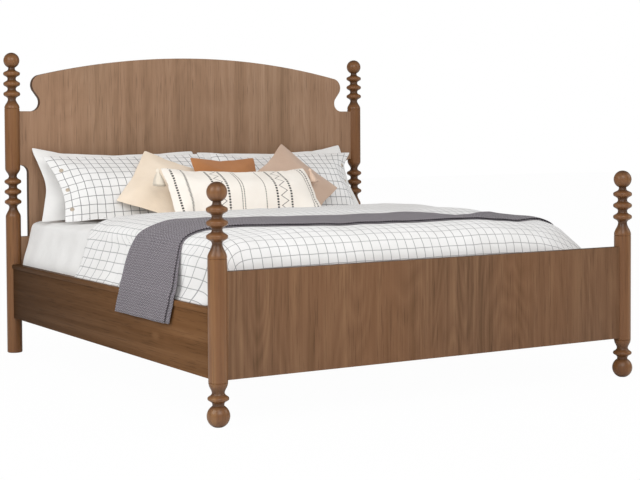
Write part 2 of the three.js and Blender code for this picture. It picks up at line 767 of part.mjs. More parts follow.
// A stuffed cover: crowned both ways, its sides drawn in between the corners, one top corner peaked
function cushion({ width, height, thickness, drawIn, dip, peak, steps }, peakSide) {
  const [across, up] = steps;
  const positions = [];
  const at = new Map();
  const corner = (i, j, face) => {
    const edge = i === 0 || j === 0 || i === across || j === up;
    const key = `${i},${j},${edge ? 0 : face}`;
    if (!at.has(key)) {
      const u = Math.sin((Math.PI / 2) * ((2 * i) / across - 1));
      const v = Math.sin((Math.PI / 2) * ((2 * j) / up - 1));
      const lift = peak * (((1 + peakSide * u) * (1 + v)) / 4) ** peakPower;
      const crown = Math.sqrt((1 - Math.abs(u) ** crownPower) * (1 - Math.abs(v) ** crownPower));
      at.set(key, positions.length);
      positions.push(new THREE.Vector3(
        u * (width / 2 - drawIn * (1 - v * v) * u * u),
        v * (height / 2 - dip * (1 - u * u) * v * v) + lift,
        edge ? 0 : (face * thickness * crown) / 2,
      ));
    }
    return at.get(key);
  };
  const index = [];
  for (let i = 0; i < across; i++) {
    for (let j = 0; j < up; j++) {
      for (const face of [1, -1]) {
        const [a, b] = [corner(i, j, face), corner(i + 1, j, face)];
        const [c, d] = [corner(i + 1, j + 1, face), corner(i, j + 1, face)];
        if (face > 0) index.push(a, b, c, a, c, d);
        else index.push(a, c, b, a, d, c);
      }
    }
  }
  const geometry = new THREE.BufferGeometry().setFromPoints(positions);
  geometry.setIndex(index);
  geometry.computeVertexNormals();
  return geometry;
}

// Spin a form in its own plane, lean it back and face it round, about its own middle
function lean(form, shape) {
  form.rotateZ(THREE.MathUtils.degToRad(shape.spin));
  form.rotateX(THREE.MathUtils.degToRad(shape.tilt));
  form.rotateZ(THREE.MathUtils.degToRad(shape.face));
  form.computeBoundingBox();
  return form;
}

const cushionSeat = mattressTop + softGap;

// How high a leant cushion's middle stands over the mattress
function riseOf(shape, peakSide) {
  return -lean(cushion(shape, peakSide), shape).boundingBox.min.z - cushionSink;
}

// Set a leant form where its middle plane meets the mattress at one Y
function settle(form, shape, x, meetY, rise) {
  form.translate(x, meetY + rise / Math.tan(THREE.MathUtils.degToRad(shape.tilt)), cushionSeat + rise);
  form.computeBoundingBox();
  return form;
}

// Stand a cushion on the mattress, pressed flat there
function stand(name, material, shape, x, meetY, peakSide = 0) {
  const form = settle(lean(cushion(shape, peakSide), shape), shape, x, meetY, riseOf(shape, peakSide));
  const { min, max } = form.boundingBox;
  const below = block(
    [min.x - cutOverrun, min.y - cutOverrun, min.z - cutOverrun],
    [max.x + cutOverrun, max.y + cutOverrun, cushionSeat],
  );
  add(name, cut(form, [below]), material);
}

// Where a cushion meets the mattress when it leans on the one behind
function meetInFront(shape, behind, behindMeetY, slack) {
  const depth = (shape.thickness + behind.thickness) / 2 + slack;
  return behindMeetY - depth / Math.sin(THREE.MathUtils.degToRad(behind.tilt));
}

// Where the pillows stand against the headboard, and the rest in front of them
const pillowRise = riseOf(pillow, 1);
const pillowBack = lean(cushion(pillow, 1), pillow).boundingBox.max.y
  + pillowRise / Math.tan(THREE.MathUtils.degToRad(pillow.tilt));
const pillowY = headPanelInnerY - softGap - pillowBack;
const shamY = meetInFront(sham, pillow, pillowY, slackToSham);
const rustY = meetInFront(rust, sham, shamY, slackToRust);
const lumbarY = meetInFront(lumbar, rust, rustY, slackToLumbar);

// Pillows, the checked shams on them, and the loose cushions in front
function addCushions() {
  for (const [word, side] of [["left", -1], ["right", 1]]) {
    const pillowX = pillowPairShift + (side * (pillow.width + pillowPairGap)) / 2;
    const shamX = shamPairShift + (side * (sham.width + shamPairGap)) / 2;
    stand(`pillow_${word}`, whiteCotton, pillow, pillowX, pillowY, side);
    stand(`sham_${word}`, checkCotton, sham, shamX, shamY);
  }
  stand("beige_cushion", beigeCotton, beige, beigeX, meetInFront(beige, sham, shamY, slackToBeige));
  stand("mauve_cushion", mauveCotton, mauve, mauveX, meetInFront(mauve, sham, shamY, slackToMauve));
  stand("rust_cushion", rustCotton, rust, rustX, rustY);
  stand("lumbar_cushion", creamCotton, lumbar, lumbarX, lumbarY);
}

// Room for the lumbar cushion in the duvet's head edge: its own form, and all behind it
function lumbarRoom() {
  const grown = {
    ...lumbar,
    width: lumbar.width + 2 * softGap,
    height: lumbar.height + 2 * softGap,
    thickness: lumbar.thickness + 2 * softGap,
  };
  const behind = block(
    [-grown.width / 2, -grown.height / 2 - cushionSink, -duvetHeadRoll],
    [grown.width / 2, grown.height / 2, 0],
  );
  const rise = riseOf(lumbar, 0);
  return [cushion(grown, 0), behind].map((form) => settle(lean(form, lumbar), lumbar, lumbarX, lumbarY, rise));
}

addPosts();
addHeadboard();
addFootboard();
addRails();
addSlats();
addBeam();
addCorner("head_left", -1, 1);
addCorner("head_right", 1, 1);
addCorner("foot_left", -1, -1);
addCorner("foot_right", 1, -1);
addMattressAndDuvet();
addThrow();
addCushions();

export default bed;
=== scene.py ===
from math import acos, atan2, copysign, cos, exp, hypot, pi, radians, sin, sqrt

import bpy
from mathutils import Matrix, Vector, noise


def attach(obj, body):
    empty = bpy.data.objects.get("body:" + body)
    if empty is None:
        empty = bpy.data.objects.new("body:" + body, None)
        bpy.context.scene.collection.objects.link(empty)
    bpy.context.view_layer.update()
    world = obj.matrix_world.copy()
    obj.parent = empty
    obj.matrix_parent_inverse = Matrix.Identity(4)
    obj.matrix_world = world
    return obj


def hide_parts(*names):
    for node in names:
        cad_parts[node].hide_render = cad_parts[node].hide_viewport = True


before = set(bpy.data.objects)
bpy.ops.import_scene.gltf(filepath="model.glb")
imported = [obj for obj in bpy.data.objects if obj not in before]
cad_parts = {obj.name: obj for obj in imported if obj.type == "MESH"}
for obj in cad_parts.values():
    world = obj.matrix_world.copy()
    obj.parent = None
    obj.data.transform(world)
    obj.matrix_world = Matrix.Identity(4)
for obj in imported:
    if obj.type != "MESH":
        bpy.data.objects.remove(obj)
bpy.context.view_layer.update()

# Camera: at a standing person's height beyond the foot of the bed, off to its left,
# with a long lens, so the footboard and the left rail both show.
bpy.ops.object.camera_add(location=(-3.44, -5.78, 1.0884))
camera = bpy.context.object
camera.rotation_mode = "QUATERNION"
camera.rotation_quaternion = (
    Matrix.Rotation(radians(-31.536), 3, "Z")
    @ Matrix.Rotation(radians(88.0), 3, "X")
    @ Matrix.Rotation(radians(-0.3), 3, "Z")
).to_quaternion()
camera.data.lens = 82.79
camera.data.sensor_width = 36.0
camera.data.shift_y = -0.0974
camera.data.clip_end = 60.0
bpy.context.scene.camera = camera
bpy.context.scene.view_settings.view_transform = "Standard"


# Posts: solid walnut turned on a lathe, oiled to a satin. The shafts are plain; rings and a
# ball finial crown each post on a spigot, and the foot posts stand on separate turned feet.
def shade(code):
    channels = [((code >> shift) & 255) / 255 for shift in (16, 8, 0)]
    return [c / 12.92 if c <= 0.04045 else ((c + 0.055) / 1.055) ** 2.4 for c in channels] + [1.0]


def given(thing, settings):
    for key, value in settings.items():
        setattr(thing, key, value)


def put(tree, kind, inputs=None, **settings):
    """A node with its settings, and each input linked or set to a value."""
    node = tree.nodes.new("ShaderNode" + kind)
    given(node, settings)
    for key, value in (inputs or {}).items():
        if isinstance(value, bpy.types.NodeSocket):
            tree.links.new(value, node.inputs[key])
        else:
            node.inputs[key].default_value = value
    return node


def calc(tree, operation, *values, kind="Math"):
    return put(tree, kind, dict(enumerate(values)), operation=operation).outputs[0]


def times(tree, first, second):
    return calc(tree, "MULTIPLY", first, second)


def scaled(tree, value, low, high, at_low, at_high, **settings):
    """A value brought from one span to another."""
    spans = {0: value, 1: low, 2: high, 3: at_low, 4: at_high}
    return put(tree, "MapRange", spans, **settings).outputs[0]


def mottle(tree, place, scale, detail, distortion=0.0):
    settings = {"Vector": place, "Scale": scale, "Detail": detail, "Distortion": distortion}
    return put(tree, "TexNoise", settings).outputs["Fac"]


def ramp(tree, value, *stops):
    """Colour or grey along a value, by (place, colour) stops."""
    node = put(tree, "ValToRGB", {0: value})
    while len(node.color_ramp.elements) < len(stops):
        node.color_ramp.elements.new(0.5)
    for element, (place, colour) in zip(node.color_ramp.elements, stops):
        element.position = place
        element.color = colour if hasattr(colour, "__len__") else (colour, colour, colour, 1.0)
    return node.outputs[0]


def blended(tree, share, first, second, blend_type="MIX"):
    inputs = {0: share, 6: first, 7: second}
    return put(tree, "Mix", inputs, data_type="RGBA", blend_type=blend_type).outputs[2]


def plain_material(name, roughness):
    material = bpy.data.materials.new(name)
    material.use_nodes = True
    surface = material.node_tree.nodes["Principled BSDF"]
    surface.inputs["Roughness"].default_value = roughness
    return material, material.node_tree, surface


def coloured(tree, surface, colour):
    tree.links.new(colour, surface.inputs["Base Color"])


def bumped(tree, surface, height, strength, distance):
    bump = put(tree, "Bump", {"Height": height, "Strength": strength, "Distance": distance})
    tree.links.new(bump.outputs[0], surface.inputs["Normal"])


def walnut(
    name, dark, middle, light, warm, grain, roughness,
    figure=0.3, gloss=0.15, knot=None, edge=None, turned=False,
):
    """Oiled walnut, its grain along one axis: growth rings, streaks, pores and broad tone, with painted
    light towards a rail's foot and painted shade on board edge faces and in turned grooves.
    """
    material, tree, surface = plain_material(name, roughness)
    surface.inputs["Specular IOR Level"].default_value = gloss
    place = put(tree, "TexCoord").outputs["Object"]

    def along(stretch, scale, detail, distortion=0.0, shift=0.0):
        sizes = [1.0, 1.0, 1.0]
        sizes[grain] = stretch
        where = put(tree, "Mapping", {"Vector": place, "Scale": sizes, "Location": (shift,) * 3})
        return mottle(tree, where.outputs[0], scale, detail, distortion)

    leaf = along(0.16, 3.4, 2.0, 0.3)
    if knot is not None:
        shape = [1.0, 1.0, 1.0]
        shape[grain] = 0.42
        moved = calc(tree, "SUBTRACT", place, knot, kind="VectorMath")
        flat = calc(tree, "MULTIPLY", moved, shape, kind="VectorMath")
        away = put(tree, "VectorMath", {0: flat}, operation="LENGTH").outputs["Value"]
        swirl = scaled(tree, away, 0.0, 0.075, 1.0, 0.0, interpolation_type="SMOOTHSTEP")
        leaf = calc(tree, "MULTIPLY_ADD", swirl, 0.07, leaf)
    rings = calc(tree, "PINGPONG", times(tree, leaf, 46.0), 1.0)
    streaks = along(0.02, 26.0, 5.0, 0.2, 3.0)
    fine = along(0.012, 120.0, 3.0, 0.0, 5.0)
    broad = along(0.3, 2.2, 1.0, 0.0, 9.0)
    figured = calc(tree, "MULTIPLY_ADD", rings, figure, times(tree, streaks, 1.0 - figure))
    figured = calc(tree, "MULTIPLY_ADD", calc(tree, "SUBTRACT", fine, 0.5), 0.35, figured)
    colour = ramp(tree, figured, (0.22, shade(dark)), (0.5, shade(middle)), (0.78, shade(light)))
    tone = scaled(tree, broad, 0.38, 0.66, 0.0, 0.75)
    colour = blended(tree, tone, colour, blended(tree, 0.6, colour, shade(warm)))
    pores = ramp(tree, along(0.03, 240.0, 2.0, 0.0, 7.0), (0.33, 0.55), (0.42, 1.0))
    colour = blended(tree, 0.6, colour, pores, "MULTIPLY")
    if knot is not None:
        heart = scaled(tree, away, 0.004, 0.022, 0.6, 0.0, interpolation_type="SMOOTHSTEP")
        colour = blended(tree, heart, colour, shade(light))
    depth = put(tree, "SeparateXYZ", {0: place}).outputs[1]
    # Painted light: along a rail (grain along Y) the colour is scaled from 0.6 at the head end to 1.48
    # towards the foot, standing in for light falling from the foot.
    if grain == 1:
        painted_light_to_foot = scaled(tree, depth, 1.0, -0.7, 0.6, 1.48)
        colour = put(tree, "VectorMath", {0: colour, "Scale": painted_light_to_foot}, operation="SCALE").outputs[0]
    # Painted shade: the board's edge faces, between edge[0] and edge[1] in Y, are blended up to 72%
    # towards dark brown.
    if edge is not None:
        inner = scaled(tree, depth, edge[0], edge[0] + 0.001, 0.0, 0.72)
        outer = scaled(tree, depth, edge[1] - 0.001, edge[1], 1.0, 0.0)
        colour = blended(tree, times(tree, inner, outer), colour, shade(0x3A2415))
    # Painted shade: the turned necks and the hollows between the rings are darkened by the lathe's
    # groove weight.
    if turned:
        groove = put(tree, "Attribute", attribute_name="groove").outputs["Fac"]
        colour = blended(tree, groove, colour, shade(0x3E2818))
    coloured(tree, surface, colour)
    sheen = scaled(tree, streaks, 0.3, 0.7, roughness + 0.06, roughness - 0.05)
    tree.links.new(sheen, surface.inputs["Roughness"])
    bumped(tree, surface, figured, 0.1, 0.0012)
    return material


def only(piece):
    bpy.ops.object.select_all(action="DESELECT")
    piece.select_set(True)
    bpy.context.view_layer.objects.active = piece


def edited(piece, *steps):
    """Run mesh operators on the whole piece in edit mode."""
    only(piece)
    bpy.ops.object.mode_set(mode="EDIT")
    bpy.ops.mesh.select_all(action="SELECT")
    for step, settings in steps:
        step(**settings)
    bpy.ops.object.mode_set(mode="OBJECT")


def modified(piece, kind, **settings):
    only(piece)
    modifier = piece.modifiers.new("step", kind)
    given(modifier, settings)
    bpy.ops.object.modifier_apply(modifier=modifier.name)


def faced_out(piece):
    edited(piece, (bpy.ops.mesh.normals_make_consistent, {"inside": False}))


def eased(piece, width, segments=3, smooth=30):
    """Round off a piece's sharp edges and shade what is left smooth."""
    settings = {"limit_method": "ANGLE", "angle_limit": radians(50)}
    modified(piece, "BEVEL", width=width, segments=segments, **settings)
    bpy.ops.object.shade_smooth_by_angle(angle=radians(smooth))


def linked(name, mesh):
    piece = bpy.data.objects.new(name, mesh)
    bpy.context.scene.collection.objects.link(piece)
    return piece


def new_piece(name, points, edges, faces):
    mesh = bpy.data.meshes.new(name)
    mesh.from_pydata(points, edges, faces)
    return linked(name, mesh)


def clad(piece, material):
    piece.data.materials.clear()
    piece.data.materials.append(material)


def finished(piece, body, slot, material, *nodes):
    """Give a piece its material and body, and let it stand for its CAD nodes; the slot is not used."""
    clad(piece, material)
    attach(piece, body)
    if nodes:
        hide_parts(*nodes)
    return piece


def copied(piece, name, matrix):
    """A second piece with its own mesh, moved in the mesh."""
    twin = linked(name, piece.data.copy())
    twin.data.transform(matrix)
    return twin


def mixed(near, far, share):
    return tuple(a + (b - a) * share for a, b in zip(near, far))


def rounded(points, rounds=3):
    """A run of points with its corners cut smooth; its two ends stay."""
    for _ in range(rounds):
        cut = [points[0]]
        for near, far in zip(points, points[1:]):
            cut += [mixed(near, far, 0.25), mixed(near, far, 0.75)]
        points = cut + [points[-1]]
    return points


shaft_r, lip_r, neck_r, spigot_r, socket_r = 0.036, 0.0345, 0.019, 0.01, 0.0103
ring_r, ring_pitch, ball_r, ball_neck_r, foot_ball_r, ball_steps = 0.04, 0.049, 0.038, 0.016, 0.043, 18


def sloped(r0, r1, z0, z1, steps=12):
    """A cone with soft ends, as (radius, height)."""
    eases = [(i / steps, (1 - cos(pi * i / steps)) / 2) for i in range(steps + 1)]
    return [(r0 + (r1 - r0) * ease, z0 + (z1 - z0) * t) for t, ease in eases]


def bead(centre, pitch, radius, low, high):
    """One thick round-edged ring between two necks, as (radius, height)."""
    lower = [(low + 0.0008, -0.43), (low + 0.004, -0.32), (radius - 0.006, -0.2), (radius, -0.11)]
    upper = [(radius, 0.11), (radius - 0.006, 0.2), (high + 0.004, 0.32), (high + 0.0008, 0.43)]
    return [(reach, centre + share * pitch) for reach, share in lower + upper]


def ring_stack(bottom, top_neck):
    points = []
    for i in range(3):
        neck = neck_r if i < 2 else top_neck
        points += bead(bottom + ring_pitch * (i + 0.5), ring_pitch, ring_r, neck_r, neck)
    return points


def arc(x, z, radius, start, end, steps):
    angles = [start + (end - start) * i / steps for i in range(steps + 1)]
    return [(x + radius * cos(a), z + radius * sin(a)) for a in angles]


def finial_profile(cone):
    """A spigot, a cone, three rings and a ball."""
    neck = cone + 3 * ring_pitch
    base = sqrt(ball_r**2 - ball_neck_r**2)
    centre = neck + 0.005 + base
    lower = [(0.0, -0.03), (spigot_r, -0.03), (spigot_r, 0.0), (lip_r, 0.0)]
    lower += [(shaft_r, 0.0015), (shaft_r, 0.004)]
    waist = [(neck_r, cone)] + ring_stack(cone, ball_neck_r)
    waist += [(ball_neck_r, neck), (ball_neck_r, neck + 0.005)]
    ball = arc(0.0, centre, ball_r, atan2(-base, ball_neck_r), pi / 2, ball_steps)
    return lower + sloped(shaft_r, neck_r, 0.004, cone)[1:-1] + rounded(waist) + ball[1:]


def lathe(name, profile, x, y, z):
    """Turn a profile of radius and height about a post's axis."""
    points = [(radius, 0.0, height) for radius, height in profile]
    piece = new_piece(name, points, [(i, i + 1) for i in range(len(points) - 1)], [])
    modified(piece, "SCREW", steps=64, render_steps=64, use_merge_vertices=True, merge_threshold=1e-6)
    edited(piece, (bpy.ops.mesh.remove_doubles, {"threshold": 1e-6}))
    faced_out(piece)
    bpy.ops.object.shade_smooth_by_angle(angle=radians(40))
    # Painted shade: a groove weight, up to 0.75 where the radius is small (necks and the hollows between
    # rings), that walnut() uses to darken those hollows.
    groove = piece.data.attributes.new("groove", "FLOAT", "POINT")
    for value, vertex in zip(groove.data, piece.data.vertices):
        radius = hypot(vertex.co.x, vertex.co.y)
        value.value = 0.75 * (1.0 - min(max((radius - 0.018) / 0.018, 0.0), 1.0))
    piece.data.transform(Matrix.Translation((x, y, z)))
    return piece


# The post walnut darkens the turned necks and ring hollows as painted shade.
post_walnut = walnut(
    "walnut_post", 0x634128, 0x7A5334, 0x8F6944, 0x7E522C, 2, 0.32, 0.08, 0.4, turned=True
)
post_x, foot_y, head_y = 0.983, -1.0635, 1.0665

head_shaft = [(0.0, 0.0), (0.033, 0.0), (shaft_r, 0.003), (shaft_r, 0.657)]
head_shaft += sloped(shaft_r, neck_r, 0.657, 0.706)[1:-1]
head_shaft += rounded([(neck_r, 0.706)] + ring_stack(0.706, neck_r) + [(neck_r, 0.853)])
head_shaft += sloped(neck_r, shaft_r, 0.853, 0.891)[1:]
head_shaft += [(shaft_r, 1.18), (lip_r, 1.1817), (socket_r, 1.1817), (socket_r, 1.1514), (0.0, 1.1514)]
foot_shaft = [(0.0, 0.1926), (socket_r, 0.1926), (socket_r, 0.1623), (lip_r, 0.1623), (shaft_r, 0.164)]
foot_shaft += [(shaft_r, 0.61), (lip_r, 0.6117), (socket_r, 0.6117), (socket_r, 0.5814), (0.0, 0.5814)]
foot_centre = sqrt(foot_ball_r**2 - ball_neck_r**2)
foot_top = acos(0.022 / foot_ball_r)
turning = [(0.0, 0.0)]
turning += arc(0.0, foot_centre, foot_ball_r, atan2(-foot_centre, ball_neck_r), foot_top, ball_steps)
foot_ring = bead(0.104, 0.04, 0.0397, 0.022, 0.0235)
turning += rounded([(0.022, 0.0772), (0.022, 0.084)] + foot_ring + [(0.0235, 0.124)])[1:]
turning += sloped(0.0235, 0.035, 0.124, 0.158)[1:]
turning += [(shaft_r, 0.1595), (shaft_r, 0.1608), (lip_r, 0.162)]
turning += [(spigot_r, 0.162), (spigot_r, 0.192), (0.0, 0.192)]

for stem, profile, y, z in (
    ("head_post", head_shaft, head_y, 0.0),
    ("head_finial", finial_profile(0.045), head_y, 1.182),
    ("foot_post", foot_shaft, foot_y, 0.0),
    ("foot_finial", finial_profile(0.055), foot_y, 0.612),
    ("foot_turning", turning, foot_y, 0.0),
):
    left = lathe("turned_" + stem + "_left", profile, -post_x, y, z)
    right = copied(left, "turned_" + stem + "_right", Matrix.Translation((2 * post_x, 0.0, 0.0)))
    finished(left, "frame", "walnut_post", post_walnut, stem + "_left")
    finished(right, "frame", "walnut_post", post_walnut, stem + "_right")

# Headboard: one wide board of upright-grained walnut, cut to its scooped and arched outline,
# its edges eased, and let into the posts below and at the wings.
board_end, slot_x = 0.9547, 0.9075
rise, lobe_x, lobe_r, scoop_x, scoop_r = 0.092, 0.834, 0.051, 0.89, 0.044
panel_foot, lower_top, wing_foot, wing_top, crown = 0.17, 0.561, 0.907, 1.169, 1.441


def thickened(piece, way):
    """Pull a flat piece out into a closed one."""
    edited(piece, (bpy.ops.mesh.extrude_region_move, {"TRANSFORM_OT_translate": {"value": way}}))
    faced_out(piece)


arch_r = (lobe_x**2 + rise**2) / (2 * rise)
arch_z = crown - arch_r
lobe_angle = acos(lobe_x / (arch_r - lobe_r))
lobe_z = arch_z + (arch_r - lobe_r) * sin(lobe_angle)
scoop_z = wing_top + scoop_r
reach = hypot(scoop_x - lobe_x, scoop_z - lobe_z)
meet = atan2(scoop_z - lobe_z, scoop_x - lobe_x) + acos(min(1.0, (lobe_r + scoop_r) / reach))
half = [(board_end, panel_foot), (board_end, lower_top), (slot_x, lower_top)]
half += arc(slot_x + 0.038, wing_foot - 0.038, 0.038, pi, pi / 2, 16)
half += [(board_end, wing_foot), (board_end, wing_top)]
half += arc(scoop_x, scoop_z, scoop_r, radians(270), meet + pi, 30)
half += arc(lobe_x, lobe_z, lobe_r, meet, lobe_angle, 30)
half += arc(0.0, arch_z, arch_r, lobe_angle, pi / 2, 48)[1:-1]
outline = half + [(0.0, crown)] + [(-x, z) for x, z in reversed(half)]
board_front, board_thick = 1.0495, 0.034
front_points = [(x, board_front, z) for x, z in outline]
headboard = new_piece("shaped_headboard", front_points, [], [list(range(len(outline)))])
thickened(headboard, (0.0, board_thick, 0.0))
eased(headboard, 0.0025)
# The headboard's edge faces are painted dark as shade.
head_walnut = walnut(
    "walnut_headboard", 0x82664F, 0x997A61, 0xAB8C73, 0xA07C62, 2, 0.5, 0.1, edge=(1.0515, 1.0815)
)
finished(headboard, "frame", "walnut_panel", head_walnut, "headboard_panel")


# Footboard, rails and caps: flat walnut boards with lightly eased edges. The footboard has upright
# grain, its edge faces painted dark as shade. The rails and caps have the grain along them and a
# darker copy of the walnut as painted shade, with painted light growing towards the foot.
def carried(node, name, ease, slot, material):
    """A merged copy of a CAD board with its edges eased, in place of that board."""
    piece = linked(name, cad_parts[node].data.copy())
    edited(
        piece,
        (bpy.ops.mesh.remove_doubles, {"threshold": 1e-5}),
        (bpy.ops.mesh.dissolve_limited, {"angle_limit": radians(1)}),
    )
    eased(piece, ease)
    finished(piece, "frame", slot, material, node)


board_ys = [vertex.co.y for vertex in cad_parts["footboard_panel"].data.vertices]
board_edge = (min(board_ys) + 0.002, max(board_ys) - 0.002)
# The footboard's edge faces, just inside its front and back, are painted dark as shade.
foot_walnut = walnut(
    "walnut_footboard", 0x5F452F, 0x765740, 0x8A6A4E, 0x805A3D, 2, 0.48, 0.16, edge=board_edge
)
knot_place = (-0.998, -0.565, 0.275)
# Painted shade: the rail and cap walnut are a darker copy of the footboard's wood; the knot is the
# wood's own.
shaded_rail_walnut = walnut(
    "walnut_rail", 0x4F351F, 0x5D4129, 0x6C4E34, 0x654427, 1, 0.55, 0.06, 0.04, knot_place
)
shaded_cap_walnut = walnut("walnut_cap", 0x4C341E, 0x5E4127, 0x704F32, 0x664427, 1, 0.5, 0.12, 0.06)
carried("footboard_panel", "eased_footboard", 0.002, "walnut_panel", foot_walnut)
for word in ("left", "right"):
    carried("side_rail_" + word, "eased_rail_" + word, 0.0015, "walnut_rail", shaded_rail_walnut)
    carried("rail_cap_" + word, "eased_cap_" + word, 0.0015, "walnut_rail", shaded_cap_walnut)


# Slats, cleats, centre beam and legs: planed pale softwood, left bare under the mattress.
# Corner brackets, bolts and beam hangers: zinc-plated steel, dull and slightly mottled.
def softwood(name, grain):
    material, tree, surface = plain_material(name, 0.65)
    place = put(tree, "TexCoord").outputs["Object"]
    sizes = [1.0, 1.0, 1.0]
    sizes[grain] = 0.04
    where = put(tree, "Mapping", {"Vector": place, "Scale": sizes}).outputs[0]
    rings = mottle(tree, where, 34.0, 4.0, 0.3)
    coloured(tree, surface, ramp(tree, rings, (0.35, shade(0xA9885B)), (0.65, shade(0xCBAE84))))
    bumped(tree, surface, rings, 0.15, 0.001)
    return material


across_wood, along_wood, upright_wood = (softwood(f"softwood_{axis}", axis) for axis in range(3))
steel, tree, surface = plain_material("zinc_steel", 0.4)
surface.inputs["Metallic"].default_value = 0.9
spangle = mottle(tree, put(tree, "TexCoord").outputs["Object"], 160.0, 3.0)
coloured(tree, surface, ramp(tree, spangle, (0.35, shade(0x808284)), (0.65, shade(0x9A9B9C))))
bumped(tree, surface, spangle, 0.08, 0.0005)
for stems, material in (
    (("corner_bracket", "rail_bolt", "panel_bolt", "beam_hanger"), steel),
    (("slat_cleat", "centre_beam"), along_wood),
    (("centre_leg",), upright_wood),
    (("slat_0", "slat_1"), across_wood),
):
    for name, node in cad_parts.items():
        if name.startswith(stems):
            clad(node, material)

# Mattress: a deep sprung king mattress in a fitted white cotton sheet, pulled over its rounded
# shoulders and softer foot corners. It lies loose on the slats, so it rides with the bedding.
def level_outline(half, low, high, left, right, top, steps):
    """A level outline with rounded corners, as (x, y, outward x, outward y)."""
    foot, corner, side, head_corner, head = steps
    bends = [
        (half - right, low + right, right, foot, corner),
        (half - top, high - top, top, side, head_corner),
        (-half + top, high - top, top, head, head_corner),
        (-half + left, low + left, left, side, corner),
    ]
    points = []
    for k, (x, y, radius, run, bend) in enumerate(bends):
        c, s = ((0, -1), (1, 0), (0, 1), (-1, 0))[k]
        x0, y0, r0 = bends[k - 1][:3]
        start, end = (x0 + r0 * c, y0 + r0 * s), (x + radius * c, y + radius * s)
        points += [(*mixed(start, end, i / run), c, s) for i in range(run)]
        for i in range(bend):
            angle = radians(90 * (k - 1 + i / bend))
            c, s = cos(angle), sin(angle)
            points.append((x + radius * c, y + radius * s, c, s))
    return points


def loft(name, rings, foot, top):
    """A closed skin through rings of (point, place on the cloth)."""
    count = len(rings[0])
    both = [pair for ring in rings for pair in ring] + [(Vector(end), end[:2]) for end in (foot, top)]
    faces = []
    for i in range(count):
        j = (i + 1) % count
        last = (len(rings) - 1) * count
        faces += [(a + i, a + j, a + count + j, a + count + i) for a in range(0, last, count)]
        faces += [(j, i, len(both) - 2), (last + i, last + j, len(both) - 1)]
    piece = new_piece(name, [point for point, _ in both], [], faces)
    return clothed(piece, [place for _, place in both])


def clothed(piece, places):
    """Keep each point's place on the flat cloth as a UV map, in metres."""
    layer = piece.data.uv_layers.new(name="cloth")
    for loop in piece.data.loops:
        layer.data[loop.index].uv = places[loop.vertex_index]
    piece.data.shade_smooth()
    return piece


def swayed(piece, amount):
    """Move every point along its normal by an amount read at its place."""
    mesh = piece.data
    normals = [normal.vector.copy() for normal in mesh.vertex_normals]
    for vertex, normal in zip(mesh.vertices, normals):
        vertex.co += normal * amount(vertex.co, normal)
    mesh.update()


def faded(value, low, high):
    t = min(max((value - low) / (high - low), 0.0), 1.0)
    return t * t * (3 - 2 * t)


def between(points, value, column=1):
    """Read one column of a table at a value of its first column."""
    for near, far in zip(points, points[1:]):
        if value <= far[0]:
            return near[column] + (far[column] - near[column]) * (value - near[0]) / (far[0] - near[0])
    return points[-1][column]


mattress_foot, mattress_top = 0.3353, 0.6383
mattress_half_x, mattress_half_y, mattress_y, top_inset = 0.965, 1.016, 0.0015, 0.084


def mattress_form(name, grow):
    """The mattress by levels of (rise, share of the inset, foot corner), or its room, grown a little."""
    levels = rounded([
        (0.0, 0.3, 0.112), (0.08, 0.0, 0.112), (0.316, 0.0, 0.123),
        (0.458, 0.12, 0.185), (0.616, 0.31, 0.274), (0.775, 0.43, 0.392),
        (0.933, 0.55, 0.521), (0.973, 0.69, 0.543), (1.0, 1.0, 0.56),
    ], 2)
    rings = []
    for rise, inset, corner in levels:
        inset *= top_inset
        low = mattress_y - mattress_half_y + inset * 0.25 - grow
        high = mattress_y + mattress_half_y - inset * 0.25 + grow
        z = mattress_foot + (mattress_top - mattress_foot) * rise + grow * (2 * rise - 1)
        corner += grow
        half = mattress_half_x - inset + grow
        outline = level_outline(half, low, high, corner, corner, 0.018 + grow, (24, 14, 90, 6, 40))
        rings.append([(Vector((x, y, z)), (x, y)) for x, y, _, _ in outline])
    return loft(name, rings, (0.0, 0.0, mattress_foot), (0.0, 0.0, mattress_top))


def fabric(name, colours, roughness, weave, sheen=0.15):
    """Woven cotton: two close tones in soft patches, a fine weave in relief, a little sheen."""
    material, tree, surface = plain_material(name, roughness)
    place = put(tree, "TexCoord").outputs["Object"]
    patches = mottle(tree, place, 7.0, 3.0)
    slub = mottle(tree, place, 900.0 * weave, 1.0)
    tone = calc(tree, "MULTIPLY_ADD", calc(tree, "SUBTRACT", slub, 0.5), 0.5, patches)
    colour = ramp(tree, tone, (0.3, shade(colours[0])), (0.7, shade(colours[1])))
    coloured(tree, surface, colour)
    surface.inputs["Sheen Weight"].default_value = sheen
    surface.inputs["Sheen Roughness"].default_value = 0.5
    relief = calc(tree, "MULTIPLY_ADD", slub, 0.05, mottle(tree, place, 13.0, 4.0, 0.6))
    bumped(tree, surface, relief, 0.35, 0.006)
    return material, tree, surface, colour


white_cotton = fabric("white_cotton", (0xE4E3E1, 0xEDECEA), 0.85, 1.0)[0]
mattress = mattress_form("fitted_mattress", 0.0)


def sheet_folds(point, normal):
    """Slanting pulls down the sides of the fitted sheet."""
    upright = faded(point.z, 0.4, 0.46) * (1 - faded(point.z, 0.56, 0.63)) * abs(normal.x)
    fan = point.y + 0.35 * (point.z - 0.45)
    folds = sin(fan * 41.0) * 0.6 + sin(fan * 27.0 + 1.0) * 0.4
    return -0.0025 * upright * (1 + folds) + 0.002 * (noise.noise(point * 4.0) - 0.5)


swayed(mattress, sheet_folds)
finished(mattress, "bedding", "white_cotton", white_cotton, "mattress")

